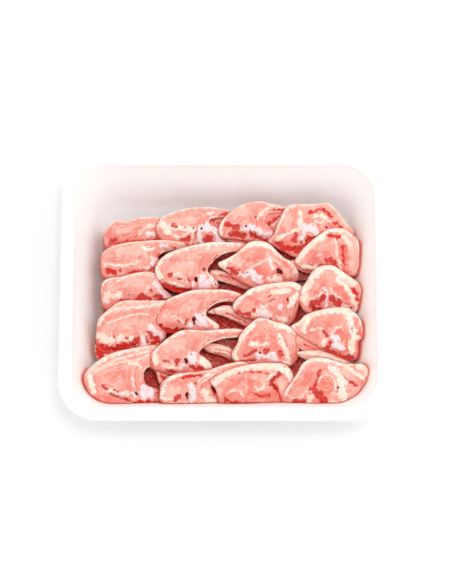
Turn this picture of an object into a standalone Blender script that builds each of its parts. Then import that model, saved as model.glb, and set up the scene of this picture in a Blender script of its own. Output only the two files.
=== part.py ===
"""A white foam tray packed with raw lamb chops.

The upper layer is four columns of five chops. Each chop leans back on the foot of the one behind
it and lies on the tail of the one to its left. Loose strips of flank lie in the gaps, and a flat
under layer covers the floor of the tray. Metres, +Z up, front of the tray at -Y, origin under
the middle of its base. Sizes of the meat are written in millimetres and scaled by MM.
"""

import math

import bmesh
import bpy
import numpy as np
from mathutils import Matrix
from mathutils.geometry import delaunay_2d_cdt

MM = 0.001

# The tray: the mouth is measured inside the rim.
MOUTH_WIDTH = 0.330
MOUTH_DEPTH = 0.285
TRAY_HEIGHT = 0.062
FLOOR = 0.005
FOAM = 0.0045
WALL_RUN = 0.027
WALL_FILLET = 0.014
FILLET_STEPS = 4
LIP_ROUND = 0.004
RIM_WIDTH = 0.015
RIM_DROP = 0.007
RIM_ROUND = 0.0025
FOOT_ROUND = 0.0055
MOUTH_CORNER = 0.038
CORNER_TAPER = 0.45
CORNER_STEPS = 6

# How closely one piece may lie to the next, and how high the space over the tray is kept.
GAP = 0.0006
MERGE_DISTANCE = 2e-6
ROOM_TOP = 0.12

# The upper layer, in millimetres and degrees. A lean is how far a cut face is raised at its back.
LEAN = 21.0
REAR_LEAN = 15.0
LOW_LEAN = 10.0
CHOP_THICKNESS = 17.0
TAIL_THICKNESS = 9.0
TAIL_START = 10.0
TAIL_END = 42.0
TAIL_DROOP = 4.5
LOIN_THINNING = 0.5
FLANK_THICKNESS = 12.0
FLANK_SUNK = 5.0
DROOP = 1.8
DROOP_REACH = 40.0
SHOULDER = 2.4
CROWN = 2.0
CROWN_REACH = 8.0
BONE_BUMP = 1.2
BONE_REACH = 7.0
UNDER_TOP = 15.5

# How finely the slices are faceted, in millimetres. Points inside a face keep a share of the
# spacing clear of its edge, and a narrow stretch is inset by no less than a share of the distance.
RING_SPACING = 7.0
FACE_SPACING = 11.5
BACK_SPACING = 24.0
EDGE_CLEARANCE = 0.45
CURVE_STEPS = 24
LEAST_INSET = 1 / 3
SHARP_ANGLE = 40.0

# The under layer, in millimetres.
UNDER_WIDTH = 266.0
UNDER_DEPTH = 200.0
UNDER_FORWARD = 12.0
UNDER_THICKNESS = 9.5
UNDER_EDGE = 1.5
UNDER_SEAM = 4.5
UNDER_COLUMNS = 3
UNDER_ROWS = 3
UNDER_POINTS = 20
UNDER_OUTLINE = [
    (-0.5, -0.3), (-0.5, 0.3), (-0.42, 0.47), (0, 0.5), (0.42, 0.48),
    (0.5, 0.3), (0.5, -0.3), (0.42, -0.47), (0, -0.5), (-0.42, -0.48),
]

# The slices are drawn on a grid of squares over the mouth, as seen from SIGHT degrees above the
# front: x is right and y is up from the mouth's middle.
SQUARES_ACROSS = 302
SQUARE = MOUTH_WIDTH / SQUARES_ACROSS / MM
SIGHT = 68.0

# The heap from the bottom up: name, kind, its lean, how far its right end is tipped down, the
# middle of its backbone, and its outline clockwise from the left end.
HEAP = [
    ("flank_a2", "flank", REAR_LEAN, 3, None, [
        (-22, 62), (-14, 69), (-2, 72), (9, 71), (14, 65), (8, 58), (-2, 53), (-14, 55),
    ]),
    ("flank_a4", "flank", REAR_LEAN, 3, None, [
        (34, 68), (42, 76), (54, 78), (63, 74), (64, 65), (58, 56), (50, 50), (41, 53), (35, 60),
    ]),
    ("chop_a1", "rib", REAR_LEAN, 7, (-74, 50), [
        (-122, 40), (-121, 52), (-112, 64), (-100, 63), (-88, 67), (-69, 68), (-56, 63), (-52, 54),
        (-58, 43), (-76, 38), (-98, 37), (-115, 34),
    ]),
    ("chop_a2", "rib", REAR_LEAN, 8, (-15, 54), [
        (-69, 56), (-67, 62), (-62, 68), (-53, 72), (-41, 76), (-26, 78), (-12, 78), (1, 76),
        (11, 74), (8, 69), (-3, 68), (-14, 66), (-15, 61), (-7, 57), (0, 50), (2, 43), (-3, 37),
        (-20, 36), (-39, 36), (-55, 38), (-65, 44), (-69, 50),
    ]),
    ("flank_a3", "flank", REAR_LEAN, 3, None, [
        (1, 48), (11, 48), (25, 46), (37, 42), (45, 38), (33, 36), (15, 39), (3, 43),
    ]),
    ("chop_a3", "rib", REAR_LEAN, 7, (30, 55), [
        (-6, 52), (-5, 59), (-1, 66), (8, 74), (17, 80), (27, 83), (37, 84), (48, 82), (62, 80),
        (73, 77), (67, 72), (55, 73), (46, 72), (42, 67), (43, 61), (49, 55), (50, 47), (43, 42),
        (25, 43), (9, 45), (-2, 46),
    ]),
    ("chop_a4", "loin", REAR_LEAN, 0, (87, 55), [
        (44, 42), (50, 51), (54, 61), (59, 72), (63, 78), (70, 81), (87, 81), (105, 82), (112, 77),
        (119, 69), (126, 60), (131, 53), (127, 44), (115, 38), (100, 35), (84, 30), (72, 27),
        (61, 32), (52, 37),
    ]),
    ("chop_b1", "rib", LEAN, 8, (-72, 21), [
        (-125, 18), (-124, 28), (-117, 36), (-100, 41), (-83, 43), (-65, 44), (-46, 43), (-28, 41),
        (-33, 36), (-51, 34), (-62, 31), (-67, 26), (-64, 20), (-67, 12), (-80, 8), (-97, 5),
        (-113, 2), (-123, 7),
    ]),
    ("chop_b2", "rib", LEAN, 8, (-20, 0), [
        (-70, 13), (-68, 20), (-63, 26), (-56, 31), (-48, 34), (-38, 37), (-25, 40), (-12, 42),
        (3, 42), (18, 41), (31, 37), (22, 33), (7, 32), (-6, 27), (-13, 20), (-17, 13), (-12, 8),
        (-6, 0), (-8, -8), (-17, -12), (-35, -12), (-51, -8), (-63, -2), (-69, 5),
    ]),
    ("flank_b2", "flank", LEAN, 3, None, [
        (-14, 13), (-3, 13), (13, 7), (33, -1), (39, -6), (25, -7), (7, -1), (-12, 5),
    ]),
    ("chop_b3", "loin", LEAN, 5, (30, 4), [
        (-6, 21), (2, 25), (11, 30), (18, 36), (24, 41), (31, 43), (41, 42), (48, 38), (54, 32),
        (61, 26), (69, 22), (74, 15), (76, 7), (72, 1), (61, -2), (50, -5), (37, -7), (23, -2),
        (11, 5), (2, 12), (-5, 17),
    ]),
    ("flank_b3", "flank", LEAN, 2, None, [
        (67, 23), (77, 24), (89, 21), (101, 16), (104, 10), (91, 9), (79, 12), (70, 17),
    ]),
    ("chop_b4", "loin", LEAN, -1, (107, 22), [
        (71, 23), (75, 30), (85, 41), (98, 51), (105, 55), (114, 56), (122, 55), (128, 50),
        (134, 45), (136, 37), (136, 26), (136, 16), (132, 8), (120, 7), (103, 11), (87, 13),
        (76, 16),
    ]),
    ("chop_c1", "rib", LEAN, 7, (-68, -4), [
        (-124, -10), (-123, 0), (-117, 5), (-104, 7), (-92, 10), (-79, 12), (-70, 10), (-66, 3),
        (-62, -4), (-54, -11), (-50, -17), (-60, -21), (-78, -22), (-97, -23), (-113, -28),
        (-122, -24),
    ]),
    ("chop_c2", "rib", LEAN, 8, (-23, -40), [
        (-70, -39), (-69, -31), (-66, -24), (-57, -16), (-48, -12), (-37, -8), (-26, -6),
        (-12, -6), (1, -6), (15, -9), (27, -16), (18, -19), (9, -18), (-1, -18), (-10, -21),
        (-17, -27), (-18, -32), (-13, -36), (-5, -42), (-7, -48), (-17, -51), (-35, -50),
        (-53, -50), (-66, -46),
    ]),
    ("flank_c2", "flank", LEAN, 3, None, [
        (-17, -29), (-8, -24), (3, -22), (13, -26), (25, -33), (36, -40), (39, -46), (25, -45),
        (11, -38), (-3, -32),
    ]),
    ("chop_c3", "rib", LEAN, 6, (39, -30), [
        (8, -24), (13, -15), (19, -11), (25, -6), (35, -2), (45, 0), (56, 1), (67, 2), (75, 0),
        (80, -5), (79, -12), (76, -19), (74, -28), (71, -36), (64, -43), (55, -44), (43, -40),
        (29, -36), (15, -32),
    ]),
    ("chop_c4", "loin", LEAN, -1, (100, -12), [
        (75, -13), (78, -4), (82, 2), (89, 13), (98, 18), (109, 18), (116, 14), (123, 9),
        (133, 2), (137, -5), (137, -14), (135, -24), (128, -31), (115, -31), (97, -31),
        (83, -30), (76, -22),
    ]),
    ("flank_d1", "flank", LEAN, 4, None, [
        (-130, -64), (-126, -57), (-111, -56), (-93, -60), (-90, -68), (-101, -76), (-116, -82),
        (-127, -76),
    ]),
    ("chop_d1", "rib", LEAN, 8, (-72, -46), [
        (-128, -47), (-126, -36), (-117, -27), (-108, -20), (-99, -17), (-85, -17), (-70, -17),
        (-53, -17), (-38, -20), (-46, -25), (-60, -28), (-67, -32), (-69, -38), (-64, -44),
        (-58, -50), (-60, -57), (-68, -64), (-85, -68), (-105, -68), (-120, -67), (-128, -59),
    ]),
    ("chop_e1", "rib", LOW_LEAN, 12, (-78, -107), [
        (-140, -96), (-137, -88), (-129, -80), (-119, -73), (-107, -68), (-95, -65), (-82, -62),
        (-69, -60), (-57, -63), (-49, -72), (-47, -86), (-51, -99), (-60, -101), (-65, -95),
        (-67, -87), (-73, -82), (-79, -86), (-80, -94), (-76, -101), (-66, -104), (-59, -112),
        (-65, -121), (-86, -123), (-107, -122), (-125, -118), (-135, -110),
    ]),
    ("chop_d2", "rib", LEAN, 8, (-33, -77), [
        (-73, -76), (-72, -69), (-62, -59), (-54, -53), (-46, -48), (-36, -46), (-21, -47),
        (-7, -46), (8, -45), (20, -46), (27, -51), (13, -54), (1, -55), (-13, -59), (-22, -65),
        (-25, -70), (-19, -74), (-12, -82), (-15, -90), (-29, -92), (-45, -92), (-60, -89),
        (-72, -85),
    ]),
    ("flank_d2", "flank", LEAN, 3, None, [
        (-23, -61), (-11, -60), (2, -63), (13, -69), (19, -76), (8, -77), (-4, -72), (-17, -68),
    ]),
    ("chop_d3", "loin", LEAN, 5, (46, -72), [
        (7, -72), (9, -66), (13, -60), (15, -53), (20, -46), (26, -40), (33, -35), (41, -35),
        (50, -38), (61, -41), (70, -46), (75, -52), (76, -61), (75, -70), (72, -78), (65, -83),
        (52, -82), (37, -81), (22, -81), (11, -79),
    ]),
    ("flank_d3", "flank", LEAN, 2, None, [
        (71, -52), (81, -54), (91, -60), (102, -67), (111, -74), (101, -79), (89, -72),
        (78, -67), (71, -60),
    ]),
    ("chop_d4", "loin", LEAN, -2, (111, -62), [
        (66, -43), (74, -38), (80, -32), (87, -29), (98, -26), (109, -24), (120, -24), (127, -27),
        (133, -32), (137, -40), (138, -52), (134, -59), (134, -68), (131, -76), (120, -77),
        (110, -72), (100, -67), (91, -62), (81, -56), (72, -50),
    ]),
    ("chop_e2", "rib", LEAN, 8, (-31, -108), [
        (-64, -109), (-63, -101), (-58, -95), (-51, -91), (-41, -89), (-28, -88), (-15, -86),
        (-3, -82), (9, -79), (21, -78), (27, -83), (13, -87), (1, -92), (-10, -98), (-12, -105),
        (-5, -112), (-2, -119), (-8, -124), (-20, -124), (-40, -124), (-57, -122), (-64, -116),
    ]),
    ("flank_e3", "flank", LEAN, -2, None, [
        (71, -70), (81, -67), (93, -67), (105, -70), (118, -75), (127, -81), (121, -86),
        (109, -82), (97, -78), (83, -77),
    ]),
    ("chop_e3", "loin", LEAN, 5, (12, -115), [
        (-14, -98), (-11, -94), (-6, -91), (2, -87), (13, -83), (29, -80), (45, -79), (59, -80),
        (65, -84), (69, -91), (70, -102), (67, -114), (61, -123), (37, -124), (13, -124),
        (-3, -121), (-7, -112), (-9, -105),
    ]),
    ("chop_e4", "loin", LEAN, -5, (85, -114), [
        (57, -111), (61, -104), (66, -98), (72, -89), (76, -81), (82, -76), (89, -74), (98, -74),
        (109, -77), (120, -80), (130, -80), (138, -81), (143, -87), (142, -96), (137, -107),
        (127, -117), (118, -123), (100, -124), (79, -124), (63, -123), (56, -118),
    ]),
]

MEAT_COLOURS = {
    "rib": (0.86, 0.45, 0.38, 1.0),
    "loin": (0.88, 0.47, 0.40, 1.0),
    "flank": (0.84, 0.42, 0.36, 1.0),
    "under": (0.70, 0.22, 0.18, 1.0),
}
FOAM_COLOUR = (0.93, 0.92, 0.91, 1.0)
MEAT_ROUGHNESS = 0.35
FOAM_ROUGHNESS = 0.55


def clear_scene():
    for obj in list(bpy.data.objects):
        bpy.data.objects.remove(obj)


def make_material(name, colour, roughness):
    material = bpy.data.materials.new(name)
    material.use_nodes = True
    shader = material.node_tree.nodes["Principled BSDF"]
    shader.inputs["Base Color"].default_value = colour
    shader.inputs["Roughness"].default_value = roughness
    shader.inputs["Metallic"].default_value = 0.0
    return material


def add_object(name, points, faces, material):
    """A smooth-shaded mesh object of triangles, turned outward."""
    mesh = bpy.data.meshes.new(name)
    mesh.from_pydata([tuple(p) for p in points], [], faces)
    shape = bmesh.new()
    shape.from_mesh(mesh)
    bmesh.ops.recalc_face_normals(shape, faces=shape.faces)
    bmesh.ops.triangulate(shape, faces=shape.faces)
    shape.to_mesh(mesh)
    shape.free()
    mesh.shade_smooth()
    mesh.set_sharp_from_angle(angle=math.radians(SHARP_ANGLE))
    mesh.materials.append(material)
    obj = bpy.data.objects.new(name, mesh)
    bpy.context.scene.collection.objects.link(obj)
    return obj


def rounded_rectangle(inward, height):
    """One level ring of the tray, inward of its mouth, with corners that tighten inward."""
    half_width = MOUTH_WIDTH / 2 - inward
    half_depth = MOUTH_DEPTH / 2 - inward
    radius = MOUTH_CORNER - CORNER_TAPER * inward
    ring = []
    for quarter in range(4):
        middle_x = (half_width - radius) * (1 if quarter in (0, 3) else -1)
        middle_y = (half_depth - radius) * (1 if quarter in (0, 1) else -1)
        for step in range(CORNER_STEPS + 1):
            angle = math.radians(90) * (quarter + step / CORNER_STEPS)
            x = middle_x + radius * math.cos(angle)
            y = middle_y + radius * math.sin(angle)
            ring.append((x, y, height))
    return ring


def inner_wall(clearance=0.0):
    """Stations of the tray's inside, from below its lip down to the floor, as (inward, height)."""
    top = TRAY_HEIGHT - LIP_ROUND
    slope = math.atan2(WALL_RUN, top - FLOOR)
    middle_inward = WALL_RUN + WALL_FILLET * (1 - math.tan(slope) / 2)
    stations = [(0.0, top)]
    for step in range(FILLET_STEPS + 1):
        angle = slope + (math.pi / 2 - slope) * step / FILLET_STEPS
        inward = middle_inward - WALL_FILLET * math.cos(angle)
        stations.append((inward, FLOOR + WALL_FILLET * (1 - math.sin(angle))))
    return [(inward + clearance, height + clearance) for inward, height in stations]


def tray_profile():
    """Stations round the foam's whole section: underside, outer wall, rim, then the inside."""
    under_rim = TRAY_HEIGHT - FOAM
    rim_foot = TRAY_HEIGHT - RIM_DROP
    turn = RIM_ROUND / 2
    return [
        (WALL_RUN + FOOT_ROUND, 0.0),
        (WALL_RUN, FOOT_ROUND / 4),
        (WALL_RUN - FOAM, FOOT_ROUND),
        (-FOAM, under_rim - turn),
        (-FOAM - turn, under_rim),
        (RIM_ROUND - RIM_WIDTH, under_rim),
        (turn - RIM_WIDTH, rim_foot),
        (-RIM_WIDTH, rim_foot + turn),
        (-RIM_WIDTH, TRAY_HEIGHT - RIM_ROUND),
        (RIM_ROUND - RIM_WIDTH, TRAY_HEIGHT),
        (-LIP_ROUND, TRAY_HEIGHT),
        (-LIP_ROUND / 4, TRAY_HEIGHT - LIP_ROUND / 4),
    ] + inner_wall()


def stack_rings(rings):
    """Points and faces of a body made of closed rings of equal size, capped at both ends."""
    size = len(rings[0])
    points = np.vstack(rings)
    faces = []
    for level in range(len(rings) - 1):
        for i in range(size):
            j = (i + 1) % size
            low, high = level * size, (level + 1) * size
            faces.append((low + i, low + j, high + j, high + i))
    faces.append(tuple(range(size)))
    faces.append(tuple(len(points) - size + i for i in range(size)))
    return points, faces


def smooth_loop(corners, count=None):
    """Evenly spaced points on the closed smooth curve through the given points."""
    corners = np.array(corners, float)
    before, after, further = (np.roll(corners, shift, axis=0) for shift in (1, -1, -2))
    rise = after - before
    bow = 2 * before - 5 * corners + 4 * after - further
    twist = 3 * corners - before - 3 * after + further
    steps = np.linspace(0, 1, CURVE_STEPS, endpoint=False)
    dense = [corners + (rise * t + bow * t**2 + twist * t**3) / 2 for t in steps]
    curve = np.stack(dense, axis=1).reshape(-1, 2)
    curve = np.vstack([curve, curve[:1]])
    sides = np.linalg.norm(np.diff(curve, axis=0), axis=1)
    along = np.concatenate([[0], np.cumsum(sides)])
    count = count or round(along[-1] / RING_SPACING)
    wanted = np.linspace(0, along[-1], count, endpoint=False)
    return np.stack([np.interp(wanted, along, curve[:, axis]) for axis in (0, 1)], axis=1)


def distance_to_loop(points, loop):
    """How far each point lies from the loop, less than zero outside it."""
    start, end = loop, np.roll(loop, -1, axis=0)
    side = end - start
    from_start = points[:, None, :] - start[None]
    share = np.clip((from_start * side).sum(2) / (side**2).sum(1), 0, 1)
    apart = np.linalg.norm(from_start - share[..., None] * side, axis=2).min(1)
    px, py = points[:, 0][:, None], points[:, 1][:, None]
    crosses = (start[:, 1] > py) != (end[:, 1] > py)
    rise = np.where(np.abs(side[:, 1]) < 1e-9, 1e-9, side[:, 1])
    hits = crosses & (px < start[:, 0] + (py - start[:, 1]) * side[:, 0] / rise)
    return np.where(hits.sum(1) % 2 == 1, apart, -apart)


def inset(loop, distance):
    """The clockwise loop moved inward by a distance, and by less where it is narrow."""
    ahead = np.roll(loop, -1, axis=0) - np.roll(loop, 1, axis=0)
    ahead /= np.linalg.norm(ahead, axis=1)[:, None]
    inward = np.stack([ahead[:, 1], -ahead[:, 0]], axis=1)
    reached = distance_to_loop(loop + distance * inward, loop)
    return loop + np.clip(reached, distance * LEAST_INSET, distance)[:, None] * inward


def fill_loop(loop, spacing):
    """Triangles inside a loop over staggered points of that spacing: (points, faces)."""
    low, high = loop.min(0), loop.max(0)
    rows = np.arange(low[1], high[1], spacing * math.sqrt(3) / 2)
    grid = []
    for number, v in enumerate(rows):
        shift = spacing / 2 * (number % 2)
        grid += [(u, v) for u in np.arange(low[0] + shift, high[0], spacing)]
    grid = np.array(grid)
    grid = grid[distance_to_loop(grid, loop) > EDGE_CLEARANCE * spacing]
    points = [tuple(p) for p in np.vstack([loop, grid])]
    ring = list(range(len(loop)))
    filled, _, faces, *_ = delaunay_2d_cdt(points, [], [ring], 1, 1e-6)
    return np.array([tuple(p) for p in filled]), [tuple(f) for f in faces]


def slice_body(kind, outer, bone):
    """Points and faces, in millimetres, of a slice lying with its cut face up."""
    thickness = FLANK_THICKNESS if kind == "flank" else CHOP_THICKNESS
    rim = inset(outer, SHOULDER)
    face_points, face_faces = fill_loop(rim, FACE_SPACING)
    back_points, back_faces = fill_loop(rim, BACK_SPACING)

    def tail_share(u):
        if kind == "flank":
            return np.zeros_like(u)
        share = np.clip((u - bone[0] - TAIL_START) / (TAIL_END - TAIL_START), 0, 1)
        return share * share * (3 - 2 * share)

    def bend(loop):
        u, v = loop[:, 0], loop[:, 1]
        return -DROOP * ((u / DROOP_REACH) ** 2 + (v / DROOP_REACH) ** 2) - TAIL_DROOP * tail_share(u)

    def depth(loop):
        thinned = tail_share(loop[:, 0]) * (1.0 if kind == "rib" else LOIN_THINNING)
        return thickness + (TAIL_THICKNESS - thickness) * thinned

    def relief(loop):
        height = CROWN * (1 - np.exp(-np.maximum(distance_to_loop(loop, rim), 0) / CROWN_REACH))
        if bone is not None:
            from_bone = np.linalg.norm(loop - bone, axis=1)
            height = height + BONE_BUMP * np.exp(-((from_bone / BONE_REACH) ** 2))
        return height

    points = np.vstack(
        [
            np.column_stack([face_points, bend(face_points) + relief(face_points)]),
            np.column_stack([outer, bend(outer) - SHOULDER]),
            np.column_stack([outer, bend(outer) + SHOULDER - depth(outer)]),
            np.column_stack([back_points, bend(back_points) - depth(back_points)]),
        ]
    )
    count = len(outer)
    upper_at = len(face_points)
    lower_at = upper_at + count
    back_at = lower_at + count
    faces = list(face_faces)
    faces += [tuple(back_at + i for i in face) for face in back_faces]
    for first, second in ((0, upper_at), (upper_at, lower_at), (lower_at, back_at)):
        for i in range(count):
            j = (i + 1) % count
            faces.append((first + i, first + j, second + j, second + i))
    return points, faces


def heap_slice(kind, lean, tip, bone, squares):
    """One slice of the upper layer in its place, before its neighbours press into it."""
    lean, sight = math.radians(lean), math.radians(SIGHT)
    drawn = smooth_loop(np.array(squares) * SQUARE)
    middle = drawn.mean(axis=0)
    stretch = np.array([1, 1 / math.sin(sight + lean)])
    outer = (drawn - middle) * stretch
    bone = None if bone is None else (np.array(bone) * SQUARE - middle) * stretch
    points, faces = slice_body(kind, outer, bone)

    thickness = FLANK_THICKNESS if kind == "flank" else CHOP_THICKNESS
    height = UNDER_TOP + thickness * math.cos(lean) - outer[:, 1].min() * math.sin(lean)
    if kind == "flank":
        height += CHOP_THICKNESS - FLANK_THICKNESS - FLANK_SUNK
    y = (middle[1] - math.cos(sight) * (height - TRAY_HEIGHT / MM)) / math.sin(sight)
    pose = (
        Matrix.Translation((middle[0] * MM, y * MM, height * MM))
        @ Matrix.Rotation(lean, 4, "X")
        @ Matrix.Rotation(math.radians(tip), 4, "Y")
    )
    frame = np.array(pose)
    return (points * MM) @ frame[:3, :3].T + frame[:3, 3], faces


def under_slice(column, row):
    """One flat slice of the under layer."""
    pitch_x, pitch_y = UNDER_WIDTH / UNDER_COLUMNS, UNDER_DEPTH / UNDER_ROWS
    size = np.array([pitch_x - UNDER_SEAM, pitch_y - UNDER_SEAM])
    outer = smooth_loop(np.array(UNDER_OUTLINE) * size, UNDER_POINTS)
    inner = inset(outer, UNDER_EDGE)
    levels = [
        (inner, UNDER_THICKNESS),
        (outer, UNDER_THICKNESS - UNDER_EDGE),
        (outer, UNDER_EDGE),
        (inner, 0.0),
    ]
    points, faces = stack_rings([np.column_stack([ring, np.full(len(ring), z)]) for ring, z in levels])
    x = (column - (UNDER_COLUMNS - 1) / 2) * pitch_x
    y = (row - (UNDER_ROWS - 1) / 2) * pitch_y - UNDER_FORWARD
    return points * MM + np.array([x * MM, y * MM, FLOOR + GAP]), faces


def grown(obj):
    """A cutter: the object's shape pushed outward all over by the gap."""
    cutter = obj.copy()
    cutter.data = obj.data.copy()
    cutter.name = obj.name + "_cutter"
    normals = [v.normal.copy() for v in cutter.data.vertices]
    for vertex, normal in zip(cutter.data.vertices, normals):
        vertex.co += GAP * normal
    bpy.context.scene.collection.objects.link(cutter)
    cutter.hide_render = True
    cutter.display_type = "WIRE"
    return cutter


def apply_booleans(obj, others, operation):
    for other in others:
        boolean = obj.modifiers.new("cut", "BOOLEAN")
        boolean.operation = operation
        boolean.solver = "EXACT"
        boolean.object = other
    evaluated = obj.evaluated_get(bpy.context.evaluated_depsgraph_get())
    mesh = bpy.data.meshes.new_from_object(evaluated)
    obj.modifiers.clear()
    obj.data = mesh


def keep_largest_body(obj):
    """Drops the scraps that a cut leaves loose."""
    shape = bmesh.new()
    shape.from_mesh(obj.data)
    bmesh.ops.remove_doubles(shape, verts=shape.verts, dist=MERGE_DISTANCE)
    bodies, seen = [], set()
    for start in shape.verts:
        if start in seen:
            continue
        body, queue = set(), [start]
        while queue:
            vertex = queue.pop()
            if vertex not in body:
                body.add(vertex)
                queue += [edge.other_vert(vertex) for edge in vertex.link_edges]
        seen |= body
        bodies.append(body)
    largest = max(bodies, key=len)
    scraps = [v for v in shape.verts if v not in largest]
    bmesh.ops.delete(shape, geom=scraps, context="VERTS")
    bmesh.ops.triangulate(shape, faces=shape.faces)
    shape.to_mesh(obj.data)
    shape.free()


def box_of(obj):
    corners = np.array([v.co for v in obj.data.vertices])
    return corners.min(axis=0), corners.max(axis=0)


def boxes_meet(a, b):
    low_a, high_a = box_of(a)
    low_b, high_b = box_of(b)
    return bool((low_a < high_b).all() and (low_b < high_a).all())


def tray_room(name, bottom, material):
    """A cutter: the space inside the tray and above it, down to this height."""
    flare = WALL_RUN * (ROOM_TOP - TRAY_HEIGHT) / TRAY_HEIGHT
    wall = np.array(inner_wall(GAP))
    rings = [rounded_rectangle(-flare, ROOM_TOP)]
    rings += [rounded_rectangle(inward, height) for inward, height in wall if height > bottom]
    low_inward = np.interp(bottom, wall[::-1, 1], wall[::-1, 0])
    rings.append(rounded_rectangle(low_inward, bottom))
    room = add_object(name, *stack_rings(rings), material)
    room.hide_render = True
    room.display_type = "WIRE"
    return room


def build():
    clear_scene()
    foam = make_material("foam", FOAM_COLOUR, FOAM_ROUGHNESS)
    meats = {kind: make_material(kind, colour, MEAT_ROUGHNESS) for kind, colour in MEAT_COLOURS.items()}
    rings = [rounded_rectangle(inward, height) for inward, height in tray_profile()]
    add_object("tray", *stack_rings(rings), foam)
    floor_room = tray_room("floor_room_cutter", FLOOR + GAP, foam)
    heap_room = tray_room("heap_room_cutter", UNDER_TOP * MM, foam)

    for row in range(UNDER_ROWS):
        for column in range(UNDER_COLUMNS):
            name = f"under_chop_{row + 1}{column + 1}"
            piece = add_object(name, *under_slice(column, row), meats["under"])
            apply_booleans(piece, [floor_room], "INTERSECT")

    heap = []
    for name, kind, lean, tip, bone, squares in HEAP:
        piece = add_object(name, *heap_slice(kind, lean, tip, bone, squares), meats[kind])
        heap.append(piece)
    cutters = [grown(piece) for piece in heap]
    for number, piece in enumerate(heap):
        above = [cutter for cutter in cutters[number + 1 :] if boxes_meet(piece, cutter)]
        apply_booleans(piece, above, "DIFFERENCE")
        apply_booleans(piece, [heap_room], "INTERSECT")
        keep_largest_body(piece)
    for cutter in [*cutters, floor_room, heap_room]:
        bpy.data.objects.remove(cutter)


build()
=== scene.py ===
"""Looks of the foam tray of raw lamb chops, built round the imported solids.

Every chop is made again on the same outline and in the same place as its solid, finely enough to
carry the rolled edge, the seams between its muscles, the sawn bone and the holes in it. What lies
where on a cut face is drawn as strokes on the same grid of squares as the outlines. Each stroke
becomes a signed distance in millimetres at every vertex, which the meat materials read.
"""

import math

import bpy
import numpy as np
from mathutils import Matrix, Vector
from mathutils.bvhtree import BVHTree
from mathutils.geometry import delaunay_2d_cdt


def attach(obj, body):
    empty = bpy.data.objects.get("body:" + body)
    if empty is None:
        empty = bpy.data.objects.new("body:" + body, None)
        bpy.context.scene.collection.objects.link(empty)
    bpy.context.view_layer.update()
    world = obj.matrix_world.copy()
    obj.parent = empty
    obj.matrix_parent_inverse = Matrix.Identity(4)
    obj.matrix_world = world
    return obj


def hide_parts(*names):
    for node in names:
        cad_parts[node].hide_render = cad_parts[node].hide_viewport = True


MM = 0.001


def colour(red, green, blue):
    """A display colour of 0 to 255 as the shader's linear one."""
    parts = []
    for part in (red, green, blue):
        part /= 255
        parts.append(part / 12.92 if part <= 0.04045 else ((part + 0.055) / 1.055) ** 2.4)
    return (*parts, 1.0)


# The tray, in metres, as in the part.
MOUTH_WIDTH = 0.330
MOUTH_DEPTH = 0.285
TRAY_HEIGHT = 0.062
FLOOR = 0.005
FOAM = 0.0045
WALL_RUN = 0.027
WALL_FILLET = 0.014
LIP_ROUND = 0.004
RIM_WIDTH = 0.015
RIM_DROP = 0.007
RIM_ROUND = 0.0025
FOOT_ROUND = 0.0055
MOUTH_CORNER = 0.038
CORNER_TAPER = 0.45
CORNER_STEPS = 22
ROUND_STEPS = 6
FILLET_STEPS = 8
SHARP_ANGLE = 50
SIDE_STEPS = 44
WALL_STEPS = 12
WALL_GAP = 0.0006

# The slices, in millimetres and degrees, as in the part.
LEAN = 21.0
REAR_LEAN = 15.0
LOW_LEAN = 10.0
CHOP_THICKNESS = 17.0
TAIL_THICKNESS = 9.0
TAIL_START = 10.0
TAIL_END = 42.0
TAIL_DROOP = 4.5
FLANK_THICKNESS = 12.0
FLANK_SUNK = 5.0
DROOP = 1.8
DROOP_REACH = 40.0
SHOULDER = 2.4
CROWN = 2.0
CROWN_REACH = 8.0
BONE_BUMP = 1.2
BONE_REACH = 7.0
UNDER_TOP = 15.5
RING_SPACING = 7.0
UNDER_WIDTH = 266.0
UNDER_DEPTH = 200.0
UNDER_FORWARD = 12.0
UNDER_THICKNESS = 9.5
UNDER_SEAM = 4.5
UNDER_COLUMNS = 3
UNDER_ROWS = 3
UNDER_GAP = 0.6
UNDER_OUTLINE = [
    (-0.5, -0.3), (-0.5, 0.3), (-0.42, 0.47), (0, 0.5), (0.42, 0.48),
    (0.5, 0.3), (0.5, -0.3), (0.42, -0.47), (0, -0.5), (-0.42, -0.48),
]
SQUARES_ACROSS = 302
SQUARE = MOUTH_WIDTH / SQUARES_ACROSS / MM
SIGHT = 68.0

# How finely the visible meat is meshed, in millimetres.
GRAIN = 0.95
WALL_GRAIN = 1.4
BACK_GRAIN = 7.0
UNDER_GRAIN = 2.2

# How far each zone of a cut face stands out or sinks in, in millimetres.
# The deep zone marks dark gaps and shaded undersides between slices; its dark red is painted shade.
ZONES = ("fat", "bone", "marrow", "red", "deep", "cap", "pale", "seam", "pit")
ZONE_RISE = {
    "fat": (0.55, 1.2), "bone": (0.7, 0.7), "marrow": (-0.7, 0.8), "red": (-0.7, 1.6),
    "deep": (-4.5, 2.2), "seam": (-0.55, 0.7), "pit": (-4.0, 0.7),
}
FAR = -60.0

# Each point of a slice also carries how far below the face's edge it is, its place along the slice
# and inward from the edge, which the grain of the meat follows, and its place from the slice's lower
# end, -1, to its upper end, 1.
CARRIED = (*ZONES, "side", "along", "inner", "up")

# The rim of fat round a face, in millimetres: its least width, and how much wider it is at the
# back. Its width changes along the edge by a share, in waves of a length.
RIM_FAT = {"rib": (-0.9, 2.3), "loin": (-0.7, 2.5), "flank": (-0.1, 0.9)}
RIM_TURN = 12.0
RIM_CHANGE = 0.6
RIM_WAVE = 11.0

# How strokes waver and fray, and how their width changes: shares, and wave lengths in millimetres.
WAVER = 1.15
WAVER_WAVE = 7.5
FRAY = 0.45
FRAY_WAVE = 2.6
STROKE_WIDTH = 0.92
STROKE_CHANGE = 0.34
STROKE_WAVE = 9.0

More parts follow.
